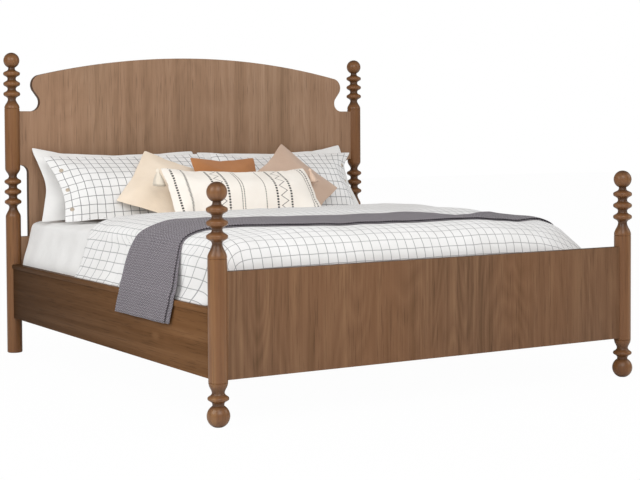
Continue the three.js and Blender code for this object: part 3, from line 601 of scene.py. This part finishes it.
# Duvet: a thick cotton duvet in a white cover with a thin dark windowpane check, 41 mm square.
# It lies over the mattress with its foot down behind the footboard and its sides on the rails.
duvet_hem, duvet_crown, duvet_foot_y, duvet_head_y = 0.4303, 0.7153, -1.046, 0.34
duvet_levels = rounded([
    (0.0, 1.0, 0.0, 0.0, 0.128, 0.128), (0.235, 0.975, 0.006, 0.012, 0.1, 0.22),
    (0.505, 0.96, 0.014, 0.024, 0.092, 0.365), (0.63, 0.951, 0.034, 0.03, 0.096, 0.435),
    (0.737, 0.942, 0.066, 0.046, 0.106, 0.495), (0.807, 0.925, 0.106, 0.07, 0.125, 0.545),
    (0.863, 0.894, 0.166, 0.11, 0.165, 0.59), (0.905, 0.855, 0.24, 0.16, 0.23, 0.63),
    (0.937, 0.794, 0.345, 0.24, 0.33, 0.65), (0.968, 0.66, 0.58, 0.38, 0.42, 0.59),
    (0.993, 0.355, 1.0, 1.0, 0.32, 0.334),
], 2)
duvet_levels = [
    (duvet_hem + (duvet_crown - duvet_hem) * rise, 0.9855 * across, 0.5 * foot, 0.26 * head, left, right)
    for rise, across, foot, head, left, right in duvet_levels
]


def foot_corner(level, side):
    """One level's foot end and the radius of its corner on one side."""
    _, half, foot, head, left, right = level
    low = duvet_foot_y + foot
    return low, min(left if side < 0 else right, 0.95 * min(half, (duvet_head_y - head - low) / 2))


def reach_at(level, y, side):
    """How far a level reaches to one side at a Y, or None beyond its foot."""
    low, corner = foot_corner(level, side)
    if y < low - 1e-6:
        return None
    return level[1] - corner + sqrt(max(corner**2 - max(low + corner - y, 0.0) ** 2, 0.0))


def foot_at(level, x, side):
    """How far a level's foot lies from the middle at an X, or None beyond its side."""
    low, corner = foot_corner(level, side)
    if x > level[1] + 1e-6:
        return None
    return -low - corner + sqrt(max(corner**2 - max(x - level[1] + corner, 0.0) ** 2, 0.0))


side_rows = [(-1.05, -0.995), (-1.0, -0.942), (-0.75, -0.804), (-0.2, -0.083), (0.34, 0.214)]


def way_over(read, at, side, rank, plain):
    """How far a point lies over the edge, along the section through it."""
    line = [(read(level, at, side), level[0]) for level in duvet_levels[rank:]]
    line = [pair for pair in line if pair[0] is not None]
    if len(line) < 2:
        return plain
    return line[-1][0] + sum(hypot(x0 - x1, z0 - z1) for (x0, z0), (x1, z1) in zip(line, line[1:]))


def duvet_form():
    """Its levels, each with how much cloth has gone over the edge to the side, foot and head."""
    spare, rings = [0.0, 0.0, 0.0], []
    above = duvet_levels[-1]
    for rank, level in reversed(list(enumerate(duvet_levels))):
        z, half, foot, head = level[:4]
        for k, out in enumerate((half - above[1], above[2] - foot, above[3] - head)):
            spare[k] += hypot(out, above[0] - z) - out
        low, left = foot_corner(level, -1)
        right = foot_corner(level, 1)[1]
        outline = level_outline(
            half, low, duvet_head_y - head, left, right,
            min(0.06 + head, 0.9 * half, 0.3), (110, 40, 290, 8, 80),
        )
        ring = []
        for x, y, nx, ny in outline:
            over = nx * nx * spare[0] + ny * ny * spare[2]
            u, v = abs(x) + abs(nx) * over, y + ny * over
            if y < -0.3:
                u = way_over(reach_at, y, x, rank, abs(x))
                v = -way_over(foot_at, abs(x), x, rank, -y)
            drop = u - abs(x)
            v += (between(side_rows, y) - y) * faded(drop, 0.0, 0.06)
            v -= 0.3 * drop * faded(y, -1.03, -0.8)
            ring.append((Vector((x, y, z)), (copysign(u, x), v)))
        rings.insert(0, ring)
        above = level
    middle = (duvet_foot_y + duvet_head_y) / 2 + 0.12
    for t in (0.75, 0.5, 0.25):
        z = duvet_crown - (duvet_crown - duvet_levels[-1][0]) * t * t
        rings.append([
            (Vector((p.x * t, middle + (p.y - middle) * t, z)), (w[0] * t, middle + (w[1] - middle) * t))
            for p, w in rings[len(duvet_levels) - 1]
        ])
    return loft("quilted_duvet", rings, (0.0, middle, duvet_hem), (0.0, middle, duvet_crown))


def line_at(tree, value, centre, half, soft=0.0006):
    """1 on a line of one width, by the distance of a value from its centre."""
    away = calc(tree, "ABSOLUTE", calc(tree, "SUBTRACT", value, centre))
    return scaled(tree, away, half, half + soft, 1.0, 0.0)


def checked(name, half_line, strength, pitch=0.044):
    """White cotton with its windowpane check, drawn on the cloth's own UV map."""
    material, tree, surface, colour = fabric(name, (0xE6E5E3, 0xEEEDEC), 0.85, 1.0)
    cloth = put(tree, "UVMap", uv_map="cloth").outputs[0]
    wander = put(tree, "TexNoise", {"Vector": cloth, "Scale": 14.0, "Detail": 1.0}).outputs["Color"]
    wander = calc(tree, "SUBTRACT", wander, (0.5,) * 3, kind="VectorMath")
    moved = calc(tree, "MULTIPLY_ADD", wander, (0.006,) * 3, cloth, kind="VectorMath")
    parts = put(tree, "SeparateXYZ", {0: moved}).outputs
    lines = []
    for k, share in ((0, 1.0), (1, 0.9)):
        away = calc(tree, "PINGPONG", parts[k], pitch / 2)
        lines.append(times(tree, line_at(tree, away, 0.0, half_line), share))
    both = times(tree, calc(tree, "MAXIMUM", *lines), strength)
    coloured(tree, surface, blended(tree, both, colour, shade(0x45464B)))
    return material


duvet_cotton = checked("duvet_cotton", 0.0012, 0.66, 0.041)
duvet = duvet_form()


tuck_line = [(0.43, -0.108), (0.53, -0.144), (0.57, -0.157), (0.6, -0.164), (0.9, -0.24)]


def duvet_puff(point, normal):
    """Soft hollows, flat under the throw, and one tuck down each side just above it."""
    calm = faded(point.z, 0.432, 0.47) * faded(point.y, duvet_foot_y + 0.001, duvet_foot_y + 0.03)
    puff = 0.007 * noise.noise(point * 3.3) + 0.004 * noise.noise(point * 8.5 + Vector((5, 5, 5)))
    past = point.y - between(tuck_line, point.z)
    depth = faded(abs(point.x), 0.88, 0.93) * (1 - faded(point.z, 0.58, 0.65))
    tuck = -0.003 * exp(-past / 0.03) if past > 0 else 0.007 * exp(past / 0.03)
    tuck -= 0.012 * exp(-((past / 0.0065) ** 2))
    pressed = max(point.z - 0.697 + 0.03 * faded(point.x, 0.3, 0.72), 0.0)
    pressed *= (1 - faded(point.y, -0.4, -0.2)) * faded(point.z, 0.645, 0.683)
    return puff * calm - 0.002 * calm - pressed + tuck * depth * faded(point.z, 0.4305, 0.436)


swayed(duvet, duvet_puff)
for vertex in duvet.data.vertices:
    pulled = faded(abs(vertex.co.x), 0.72, 0.93) * faded(vertex.co.z, 0.49, 0.65)
    vertex.co.y -= 0.035 * pulled * faded(vertex.co.y, 0.02, 0.33)


def cleared(room):
    """Cut a neighbour's room out of the duvet."""
    modified(duvet, "BOOLEAN", object=room, operation="DIFFERENCE", solver="EXACT")
    bpy.data.objects.remove(room)
    duvet.data.shade_smooth()


cleared(mattress_form("mattress_room", 0.0008))
finished(duvet, "bedding", "check_cotton", duvet_cotton, "duvet")


# Throw: a grey-purple herringbone weave, folded in two along its length with the fold towards
# the head. It lies across the duvet and hangs a little way down outside each rail.
def throw_section(y, side):
    """Half of the duvet's section at one Y, as (x, z), straight from its shoulder to the rail."""
    line = [(reach_at(level, y, side), level[0]) for level in duvet_levels]
    line = [pair for pair in line if pair[0] is not None]
    line.append((0.0, line[-1][1] + (0.0008 if y > -0.55 else 0.0)))
    rail_x, rail_z = 1.005, 0.437
    above = [pair for pair in line if pair[1] > rail_z + 0.02]
    touch_x, touch_z = min(above, key=lambda pair: (rail_x - pair[0]) / (pair[1] - rail_z))
    lean = (rail_x - touch_x) / (touch_z - rail_z)
    return [(touch_x + (touch_z - z) * lean if rail_z <= z < touch_z else x, z) for x, z in line]


def spaced(line, count):
    """Points at even steps along a line of (x, z), their outward directions, and its length."""
    table = [(0.0, *line[0])]
    for x, z in line[1:]:
        table.append((table[-1][0] + hypot(x - table[-1][1], z - table[-1][2]), x, z))
    length = table[-1][0]
    wants = [length * i / (count - 1) for i in range(count)]
    points = [(between(table, want), between(table, want, 2)) for want in wants]
    facing = []
    for i in range(count):
        (x0, z0), (x1, z1) = points[max(i - 2, 0)], points[min(i + 2, count - 1)]
        size = hypot(x1 - x0, z1 - z0)
        facing.append((-(z1 - z0) / size, (x1 - x0) / size))
    return points, facing, length


throw_stations, throw_hem, throw_half = 301, 0.337, 0.2455
hanging = [(1.0062, throw_hem), (1.0056, 0.385)]
section_ys = [-0.86 + 0.02 * i for i in range(37)]
sections = []
for y in section_ys:
    left, right = (
        hanging + [end for end in throw_section(y, side) if end[1] >= 0.437] for side in (-1, 1)
    )
    whole = [(-x, z) for x, z in left] + [(x, z) for x, z in reversed(right[:-1])]
    sections.append(spaced(whole, throw_stations))
throw_length = sections[18][2]
throw_middle = rounded([
    (0.0, -0.466, 1.0), (0.02, -0.485, 1.0), (0.037, -0.504, 1.0), (0.06, -0.49, 1.0),
    (0.08, -0.47, 1.0), (0.1, -0.458, 0.96), (0.12, -0.452, 0.88), (0.14, -0.468, 0.82),
    (0.16, -0.474, 0.84), (0.19, -0.47, 0.93), (0.23, -0.5, 0.94), (0.28, -0.555, 0.95),
    (0.37, -0.62, 0.92), (0.5, -0.645, 0.9), (0.62, -0.627, 0.88), (0.7, -0.6, 0.84),
    (0.75, -0.572, 0.82), (0.79, -0.545, 0.82), (0.84, -0.505, 0.86), (0.9, -0.47, 0.92),
    (1.0, -0.45, 0.98),
], 2)
runs = 36
edge = throw_half - 0.02


def row(start, way, out, layer):
    """One layer's face across the throw, as (place across, height, layer)."""
    return [(start + way * i / runs, out, layer) for i in range(runs + 1)]


weave_path = row(-throw_half, 2 * throw_half - 0.005, 0.0012, 0)
weave_path += [
    (throw_half - 0.005 + 0.0045 * cos(a), 0.0056 + 0.0044 * sin(a), 1)
    for a in (radians(turn) for turn in (-60, -30, 0, 30, 60))
]
weave_path += row(throw_half - 0.005, -(throw_half - 0.005 + edge), 0.01, 2)
weave_path += [(-edge - 0.0012, 0.0085, 2)] + row(-edge, throw_half - 0.009 + edge, 0.0068, 3)
weave_path += [(throw_half - 0.0078, 0.0056, 3)]
weave_path += row(throw_half - 0.009, -(2 * throw_half - 0.009), 0.0044, 4)
weave_path += [(-throw_half - 0.0012, 0.0028, 4)]
points, places = [], []
for i in range(throw_stations):
    t = i / (throw_stations - 1)
    centre, wide = between(throw_middle, t), between(throw_middle, t, 2)
    flap = 1 - faded(min(t, 1 - t) * throw_length, 0.02, 0.16)
    set_back = 0.012 - 0.024 * (1 - faded(min(t, 1 - t), 0.0, 0.14))
    for w, out, layer in weave_path:
        lifted = out + (0.0015 * faded(-w, 0.18, edge) if layer in (2, 3) else 0.0)
        lifted += flap * (0.0018 + 0.0018 * sin(w * 34.0 + t * 9.0))
        back = set_back * (throw_half - w) / (2 * throw_half) if layer in (2, 3) else 0.0
        y = centre + wide * (w - back)
        k = min(max((y - section_ys[0]) / 0.02, 0.0), len(section_ys) - 1.001)
        low, share = int(k), k - int(k)
        (p0, n0, _), (p1, n1, _) = sections[low], sections[low + 1]
        x, z, nx, nz = mixed(p0[i] + n0[i], p1[i] + n1[i], share)
        lifted += duvet_puff(Vector((x, y, z)), None) * (1 - flap)
        points.append((x + nx * lifted, y, z + nz * lifted))
        places.append((t * throw_length, w + 0.7 * (layer > 1)))
around = len(weave_path)
faces = []
for near in range(0, len(points) - around, around):
    far = near + around
    pairs = [(k, (k + 1) % around) for k in range(around)]
    faces += [(near + k, far + k, far + after, near + after) for k, after in pairs]
faces += [tuple(range(around)), tuple(reversed(range(len(points) - around, len(points))))]
throw = new_piece("folded_throw", points, [], faces)
faced_out(throw)
clothed(throw, places)

grey_weave, tree, surface, colour = fabric("grey_weave", (0x6C666C, 0x777177), 0.95, 0.6, 0.1)
cloth = put(tree, "UVMap", uv_map="cloth").outputs[0]
parts = put(tree, "SeparateXYZ", {0: cloth}).outputs
along = calc(tree, "MULTIPLY_ADD", mottle(tree, cloth, 30.0, 2.0), 0.006, parts[0])
slant = calc(tree, "ADD", calc(tree, "PINGPONG", parts[1], 0.014), along)
yarn = times(tree, calc(tree, "PINGPONG", slant, 0.0055), 182.0 * 0.65)
thread = calc(tree, "MULTIPLY_ADD", mottle(tree, cloth, 150.0, 2.0), 0.5, yarn)
tint = ramp(tree, thread, (0.28, shade(0x231E23)), (0.58, shade(0x605A60)), (0.88, shade(0xB7B0B7)))
coloured(tree, surface, blended(tree, 0.9, colour, tint))
bumped(tree, surface, thread, 0.7, 0.002)
finished(throw, "bedding", "grey_weave", grey_weave, "throw")

# Pillows: two plump king pillows in plain white cases against the headboard, and two shams in
# the duvet's check leaning on them, each closed with three buttons near its outer end.
seat = 0.6391


def shares(point, width, height):
    """A point's place on a cushion, from -1 to 1 across and up."""
    return 2 * point.x / width, 2 * point.y / height


def pouch(name, width, height, thickness, gather, full, rows=(72, 38)):
    """Two panels sewn round the edge, blown up, and brought to the cushion's size."""
    bpy.ops.object.select_all(action="DESELECT")
    bpy.ops.mesh.primitive_grid_add(x_subdivisions=rows[0], y_subdivisions=rows[1], size=1.0)
    piece = bpy.context.object
    piece.name = piece.data.name = name
    bpy.ops.transform.resize(value=(width, height, 1.0))
    bpy.ops.object.transform_apply(location=False, rotation=False, scale=True)
    thickened(piece, (0.0, 0.0, 0.004))
    layer = piece.data.uv_layers[0]
    layer.name = "cloth"
    flat = [vertex.co.copy() for vertex in piece.data.vertices]
    for loop in piece.data.loops:
        point = flat[loop.vertex_index]
        layer.data[loop.index].uv = (point.x + (0.0 if point.z > 0.002 else 3.0), point.y)
    for vertex in piece.data.vertices:
        ear = 1 - 0.007 / height * (2 * vertex.co.x / width * 2 * vertex.co.y / height) ** 6
        vertex.co.x *= ear
        vertex.co.y *= ear
    only(piece)
    cloth = piece.modifiers.new("stuffing", "CLOTH")
    given(cloth.settings, {
        "quality": 6, "mass": 0.3, "tension_stiffness": 12, "compression_stiffness": 6,
        "shear_stiffness": 5, "bending_stiffness": 0.2, "use_pressure": True,
        "uniform_pressure_force": 5.0,
    })
    cloth.settings.effector_weights.gravity = 0.0
    last_step = 24
    cloth.point_cache.frame_start, cloth.point_cache.frame_end = 1, last_step
    for step in range(1, last_step + 1):
        bpy.context.scene.frame_set(step)
    bpy.ops.object.modifier_apply(modifier=cloth.name)
    bpy.context.scene.frame_set(1)
    heights = [vertex.co.z for vertex in piece.data.vertices]
    deep, middle = (max(heights) - min(heights)) / 2, sum(heights) / len(flat)
    side = max(v.co.x for v, f in zip(piece.data.vertices, flat) if abs(f.y) < 0.04 * height)
    share = gather / (width / 2 - side)
    for vertex, start in zip(piece.data.vertices, flat):
        vertex.co.x = start.x + (vertex.co.x - start.x) * share
        vertex.co.y = start.y + (vertex.co.y - start.y) * share
        z = (vertex.co.z - middle) / deep * thickness / 2
        vertex.co.z = z * full if z > 0 else z
    modified(piece, "SUBSURF", levels=1, render_levels=1)
    piece.data.shade_smooth()
    return piece


def leant(piece, place, tilt, spin=0.0, face=0.0):
    """Spin a cushion, lean it back, face it round and press its foot flat."""
    turn = (
        Matrix.Translation(place)
        @ Matrix.Rotation(radians(face), 4, "Z")
        @ Matrix.Rotation(radians(tilt), 4, "X")
        @ Matrix.Rotation(radians(spin), 4, "Z")
    )
    piece.data.transform(turn)
    for vertex in piece.data.vertices:
        if vertex.co.z < seat:
            vertex.co.z = seat
    return turn


def peaked(piece, width, height, side, peak):
    """Pull one top corner up, where the case has been tugged."""
    for vertex in piece.data.vertices:
        u, v = shares(vertex.co, width, height)
        vertex.co.y += peak * max(0.0, (1 + side * u) * (1 + v) / 4) ** 5


def nudged(piece, width, height, side, pulls):
    """Pull one end of a cushion in or out, by a table of (height up its end, distance in)."""
    for vertex in piece.data.vertices:
        u, v = shares(vertex.co, width, height)
        if side * u > 0:
            vertex.co.x -= side * between(pulls, v) * u * u


button_horn, tree, surface = plain_material("button_horn", 0.35)
clouds = mottle(tree, put(tree, "TexCoord").outputs["Object"], 120.0, 3.0, 1.0)
coloured(tree, surface, ramp(tree, clouds, (0.35, shade(0x9C9186)), (0.65, shade(0xCBBBA6))))

bpy.ops.mesh.primitive_cylinder_add(vertices=28, radius=0.0105, depth=0.003)
button = bpy.context.object
button.name = "button_pattern"
for polygon in button.data.polygons:
    polygon.select = polygon.normal.z > 0.9
only(button)
bpy.ops.object.mode_set(mode="EDIT")
for rim, sink in ((0.0022, 0.0009), (0.0052, 0.0006)):
    bpy.ops.mesh.inset(thickness=rim)
    bpy.ops.transform.translate(value=(0.0, 0.0, -sink))
bpy.ops.object.mode_set(mode="OBJECT")
eased(button, 0.0004, 2, 40)

check_cotton = checked("check_cotton", 0.0014, 0.85)
pillow_size, pillow_tilt, sham_tall, sham_tilt = (0.892, 0.4), 56.0, 0.42, 47.5
pillow_ends = {
    -1: [(-1.0, -0.025), (-0.66, 0.0), (0.0, 0.03), (0.3, 0.036), (0.7, 0.03), (1.0, 0.02)],
    1: [(-1.0, 0.004), (0.0, 0.012), (1.0, 0.0)],
}
sham_ends = {
    -1: [(-1.0, 0.0), (-0.55, 0.026), (-0.15, 0.032), (0.25, 0.028), (0.6, 0.02), (1.0, 0.0)],
    1: [(-1.0, 0.127), (0.0, 0.115), (0.5, 0.09), (1.0, 0.0)],
}
button_places = {
    -1: ((-0.389, 0.094), (-0.392, -0.02), (-0.397, -0.14)),
    1: ((0.404, 0.1), (0.42, 0.0), (0.422, -0.115)),
}
for word, side, pillow_z, sham_x, sham_width, spin in (
    ("left", -1, 0.8036, -0.458, 0.87, 0.0), ("right", 1, 0.7966, 0.43, 0.862, -1.2),
):
    pillow = pouch("white_pillow_" + word, *pillow_size, 0.092, 0.018, 1.1)
    peaked(pillow, *pillow_size, side, 0.038)
    nudged(pillow, *pillow_size, side, rounded(pillow_ends[side], 2))
    leant(pillow, (-0.024 + side * 0.452, 0.9159, pillow_z), pillow_tilt)
    finished(pillow, "bedding", "white_cotton", white_cotton, "pillow_" + word)
    sham = pouch("checked_sham_" + word, sham_width, sham_tall, 0.099, 0.014, 1.45)
    nudged(sham, sham_width, sham_tall, side, rounded(sham_ends[side], 2))
    if side > 0:
        for vertex in sham.data.vertices:
            u, v = shares(vertex.co, sham_width, sham_tall)
            vertex.co.y -= 0.026 * exp(-(((u + 0.45) / 0.35) ** 2)) * faded(v, 0.0, 1.0)
    turn = leant(sham, (sham_x, 0.7789, 0.801), sham_tilt, spin)
    back = turn.inverted()
    front = [(back @ vertex.co, vertex.normal) for vertex in sham.data.vertices]
    front = [(point, back.to_3x3() @ normal) for point, normal in front if point.z > 0]
    for number, (x, y) in enumerate(button_places[side], 1):
        x -= side * between(sham_ends[side], 2 * y / sham_tall) * (2 * x / sham_width) ** 2
        point, normal = min(front, key=lambda pair: (pair[0].x - x) ** 2 + (pair[0].y - y) ** 2)
        facing = normal.to_track_quat("Z", "Y").to_matrix().to_4x4()
        facing @= Matrix.Rotation(0.3 * number, 4, "Z")
        fixed = turn @ Matrix.Translation(point + normal * 0.001) @ facing
        piece = copied(button, f"sham_button_{word}_{number}", fixed)
        finished(piece, "bedding", "check_cotton", button_horn)
    finished(sham, "bedding", "check_cotton", check_cotton, "sham_" + word)
bpy.data.objects.remove(button)

# Loose cushions: three plain cotton squares, beige, rust and mauve, each with a plain seam and
# pulled out at its corners, leaning on the shams at their own angles.
for stem, tones, size, place, tilt, spin, face in (
    ("beige", (0xE7D5BE, 0xF0E0CC), (0.376, 0.376, 0.082), (-0.372, 0.6311, 0.7985), 45.0, -27.0, -17.0),
    ("rust", (0xA36A3C, 0xB37848), (0.362, 0.36, 0.072), (-0.082, 0.5221, 0.7888), 58.0, -1.2, 0.0),
    ("mauve", (0xC2A590, 0xCDB19C), (0.376, 0.376, 0.074), (0.312, 0.5611, 0.8114), 48.0, 33.5, 12.0),
):
    cushion = pouch(stem + "_square_cushion", *size, 0.022 if stem == "rust" else 0.015, 1.25, (42, 42))
    leant(cushion, place, tilt, spin, face)
    material = fabric(stem + "_cotton", tones, 0.9, 0.8)[0]
    finished(cushion, "bedding", stem + "_cotton", material, stem + "_cushion")

# Lumbar cushion: long and cream, with stitched black stripes of dots and zigzags running from
# top to bottom, and a cotton tassel on each corner.
cream_cotton, cream_tree, surface, colour = fabric("cream_cotton", (0xF2EAE0, 0xF8F2E9), 0.9, 0.8)
cloth = put(cream_tree, "UVMap", uv_map="cloth").outputs[0]
u, v, _ = put(cream_tree, "SeparateXYZ", {0: cloth}).outputs
marks = []


def stitch(operation, *values):
    return calc(cream_tree, operation, *values)


def dotted(centre, half, pitch, tall, share):
    """A stripe of dots, by its place across, half width, pitch, half dot and darkness."""
    on_line = line_at(cream_tree, u, centre, half)
    on_dot = line_at(cream_tree, stitch("PINGPONG", v, pitch / 2), 0.0, tall)
    marks.append(stitch("MULTIPLY", stitch("MULTIPLY", on_line, on_dot), share))


def zigzag(centre, reach, pitch, half, share):
    """A zigzag, by its place across, reach each way, pitch, half width and darkness."""
    swing = stitch("MULTIPLY", stitch("PINGPONG", v, pitch / 2), 2 * reach / (pitch / 2))
    away = stitch("SUBTRACT", stitch("SUBTRACT", u, centre - reach), swing)
    marks.append(stitch("MULTIPLY", line_at(cream_tree, away, 0.0, half), share))


for centre in (-0.366, -0.183, -0.113, 0.147, 0.224, 0.373):
    dotted(centre, 0.0052, 0.0148, 0.0044, 1.0)
for centre in (-0.045, -0.032, 0.085):
    dotted(centre, 0.0024, 0.009, 0.0028, 0.85)
zigzag(-0.3085, 0.005, 0.0072, 0.0028, 0.95)
zigzag(0.35, 0.0036, 0.0085, 0.0022, 0.8)
zigzag(-0.148, 0.018, 0.054, 0.0028, 0.75)
zigzag(0.1855, 0.019, 0.054, 0.003, 0.75)
stitched = marks[0]
for mark in marks[1:]:
    stitched = stitch("MAXIMUM", stitched, mark)
coloured(cream_tree, surface, blended(cream_tree, stitched, colour, shade(0x0F0E0E)))
lumbar_size = 0.816, 0.306
lumbar = pouch("striped_lumbar_cushion", *lumbar_size, 0.078, 0.018, 1.5, (72, 30))
nudged(lumbar, *lumbar_size, 1, rounded([(-1.0, 0.0), (0.4, 0.0), (1.0, 0.022)], 2))
turn = leant(lumbar, (-0.07, 0.4027, 0.774), 50.0, -1.5)
finished(lumbar, "bedding", "cream_cotton", cream_cotton, "lumbar_cushion")
room = copied(lumbar, "lumbar_room", Matrix())
room_normals = [normal.vector.copy() for normal in room.data.vertex_normals]
for vertex, normal in zip(room.data.vertices, room_normals):
    vertex.co += normal * 0.0015
    if normal.y > 0:
        vertex.co.y += 0.2
    if vertex.co.z < seat + 0.004:
        vertex.co.z -= 0.02
cleared(room)

tassel_cotton = fabric("tassel_cotton", (0xF0E4D0, 0xF7EDDD), 0.95, 0.8)[0]
peach_cotton = fabric("peach_cotton", (0xE3C4AC, 0xEED3BE), 0.95, 0.8)[0]
strands = 30
tassel_levels = (
    (0.0, 0.003), (0.004, 0.008), (0.011, 0.0105), (0.017, 0.009), (0.021, 0.0075),
    (0.025, 0.01), (0.04, 0.019), (0.06, 0.027), (0.08, 0.032), (0.087, 0.033),
)
rings = []
for drop, radius in reversed(tassel_levels):
    groove = 0.16 if drop > 0.02 else 0.04
    ring = []
    for i in range(strands * 2):
        angle = pi * i / strands
        size = radius * (1 - groove * (i % 2)) * (1 + 0.06 * sin(angle * 5))
        point = Vector((size * cos(angle), size * sin(angle) * 0.45, -drop))
        ring.append((point, (angle * 0.02, drop)))
    rings.append(ring)
tassel = loft("tassel_pattern", rings, (0, 0, -0.09), (0, 0, 0.001))
for number, (x, y, swing, size, material) in enumerate((
    (-0.412, 0.146, 6.0, 1.0, tassel_cotton), (0.412, 0.146, -5.0, 0.85, peach_cotton),
    (-0.402, -0.12, 70.0, 0.7, tassel_cotton), (0.396, -0.12, -70.0, 0.7, peach_cotton),
), 1):
    hang = Matrix.Translation(turn @ Vector((x, y, 0.0))) @ Matrix.Rotation(radians(swing), 4, "Y")
    if number < 3:
        hang @= Matrix.Rotation(radians(-25), 4, "X")
    piece = copied(tassel, f"lumbar_tassel_{number}", hang @ Matrix.Scale(size, 4))
    finished(piece, "bedding", "cream_cotton", material)
bpy.data.objects.remove(tassel)

# Room light: a large soft lamp over the foot of the bed, a weaker one on the left,
# and an even pale surround that shows as white behind the bed.
for name, place, aim, size, power in (
    ("key_light", (-1.6, -4.6, 3.6), (0.0, 0.2, 0.5), 3.2, 115.0),
    ("side_light", (-4.2, -1.0, 2.8), (-0.3, 0.6, 0.7), 2.6, 68.0),
    ("fill_light", (4.5, -2.5, 3.0), (0.0, 0.0, 0.5), 3.0, 35.0),
):
    bpy.ops.object.light_add(type="AREA", location=place)
    lamp = bpy.context.object
    lamp.name = name
    lamp.data.shape = "SQUARE"
    lamp.data.size = size
    lamp.data.energy = power
    lamp.rotation_euler = (Vector(aim) - Vector(place)).to_track_quat("-Z", "Y").to_euler()


def shown_ray(tree):
    """1 where a ray comes from the camera or a clear surface."""
    rays = put(tree, "LightPath").outputs
    return calc(tree, "MAXIMUM", rays["Is Camera Ray"], rays["Is Transmission Ray"])


world = bpy.data.worlds.new("pale_surround")
bpy.context.scene.world = world
world.use_nodes = True
sky = world.node_tree
sky.nodes.clear()
mirrored = put(sky, "LightPath").outputs["Is Glossy Ray"]
level = calc(sky, "MULTIPLY_ADD", mirrored, -0.35, 0.56)
soft, white = (put(sky, "Background", {0: (1.0,) * 4, 1: light}).outputs[0] for light in (level, 1.0))
pick = put(sky, "MixShader", {0: shown_ray(sky), 1: soft, 2: white})
put(sky, "OutputWorld", {"Surface": pick.outputs[0]})

# Floor: a plain pale sheet under the bed that shows as nearly white to the camera and
# still keeps the bed's soft shadow.
bpy.ops.mesh.primitive_plane_add(size=40.0, location=(0.0, 0.0, 0.0))
floor = bpy.context.object
floor.name = "floor"
pale, pale_tree, paint = plain_material("pale_floor", 0.9)
paint.inputs["Base Color"].default_value = (0.86, 0.86, 0.86, 1.0)
glow = put(pale_tree, "Emission", {"Strength": 1.0})
share = calc(pale_tree, "MULTIPLY", shown_ray(pale_tree), 0.98)
both = put(pale_tree, "MixShader", {0: share, 1: paint.outputs[0], 2: glow.outputs[0]})
pale_tree.links.new(both.outputs[0], pale_tree.nodes["Material Output"].inputs["Surface"])
floor.data.materials.append(pale)
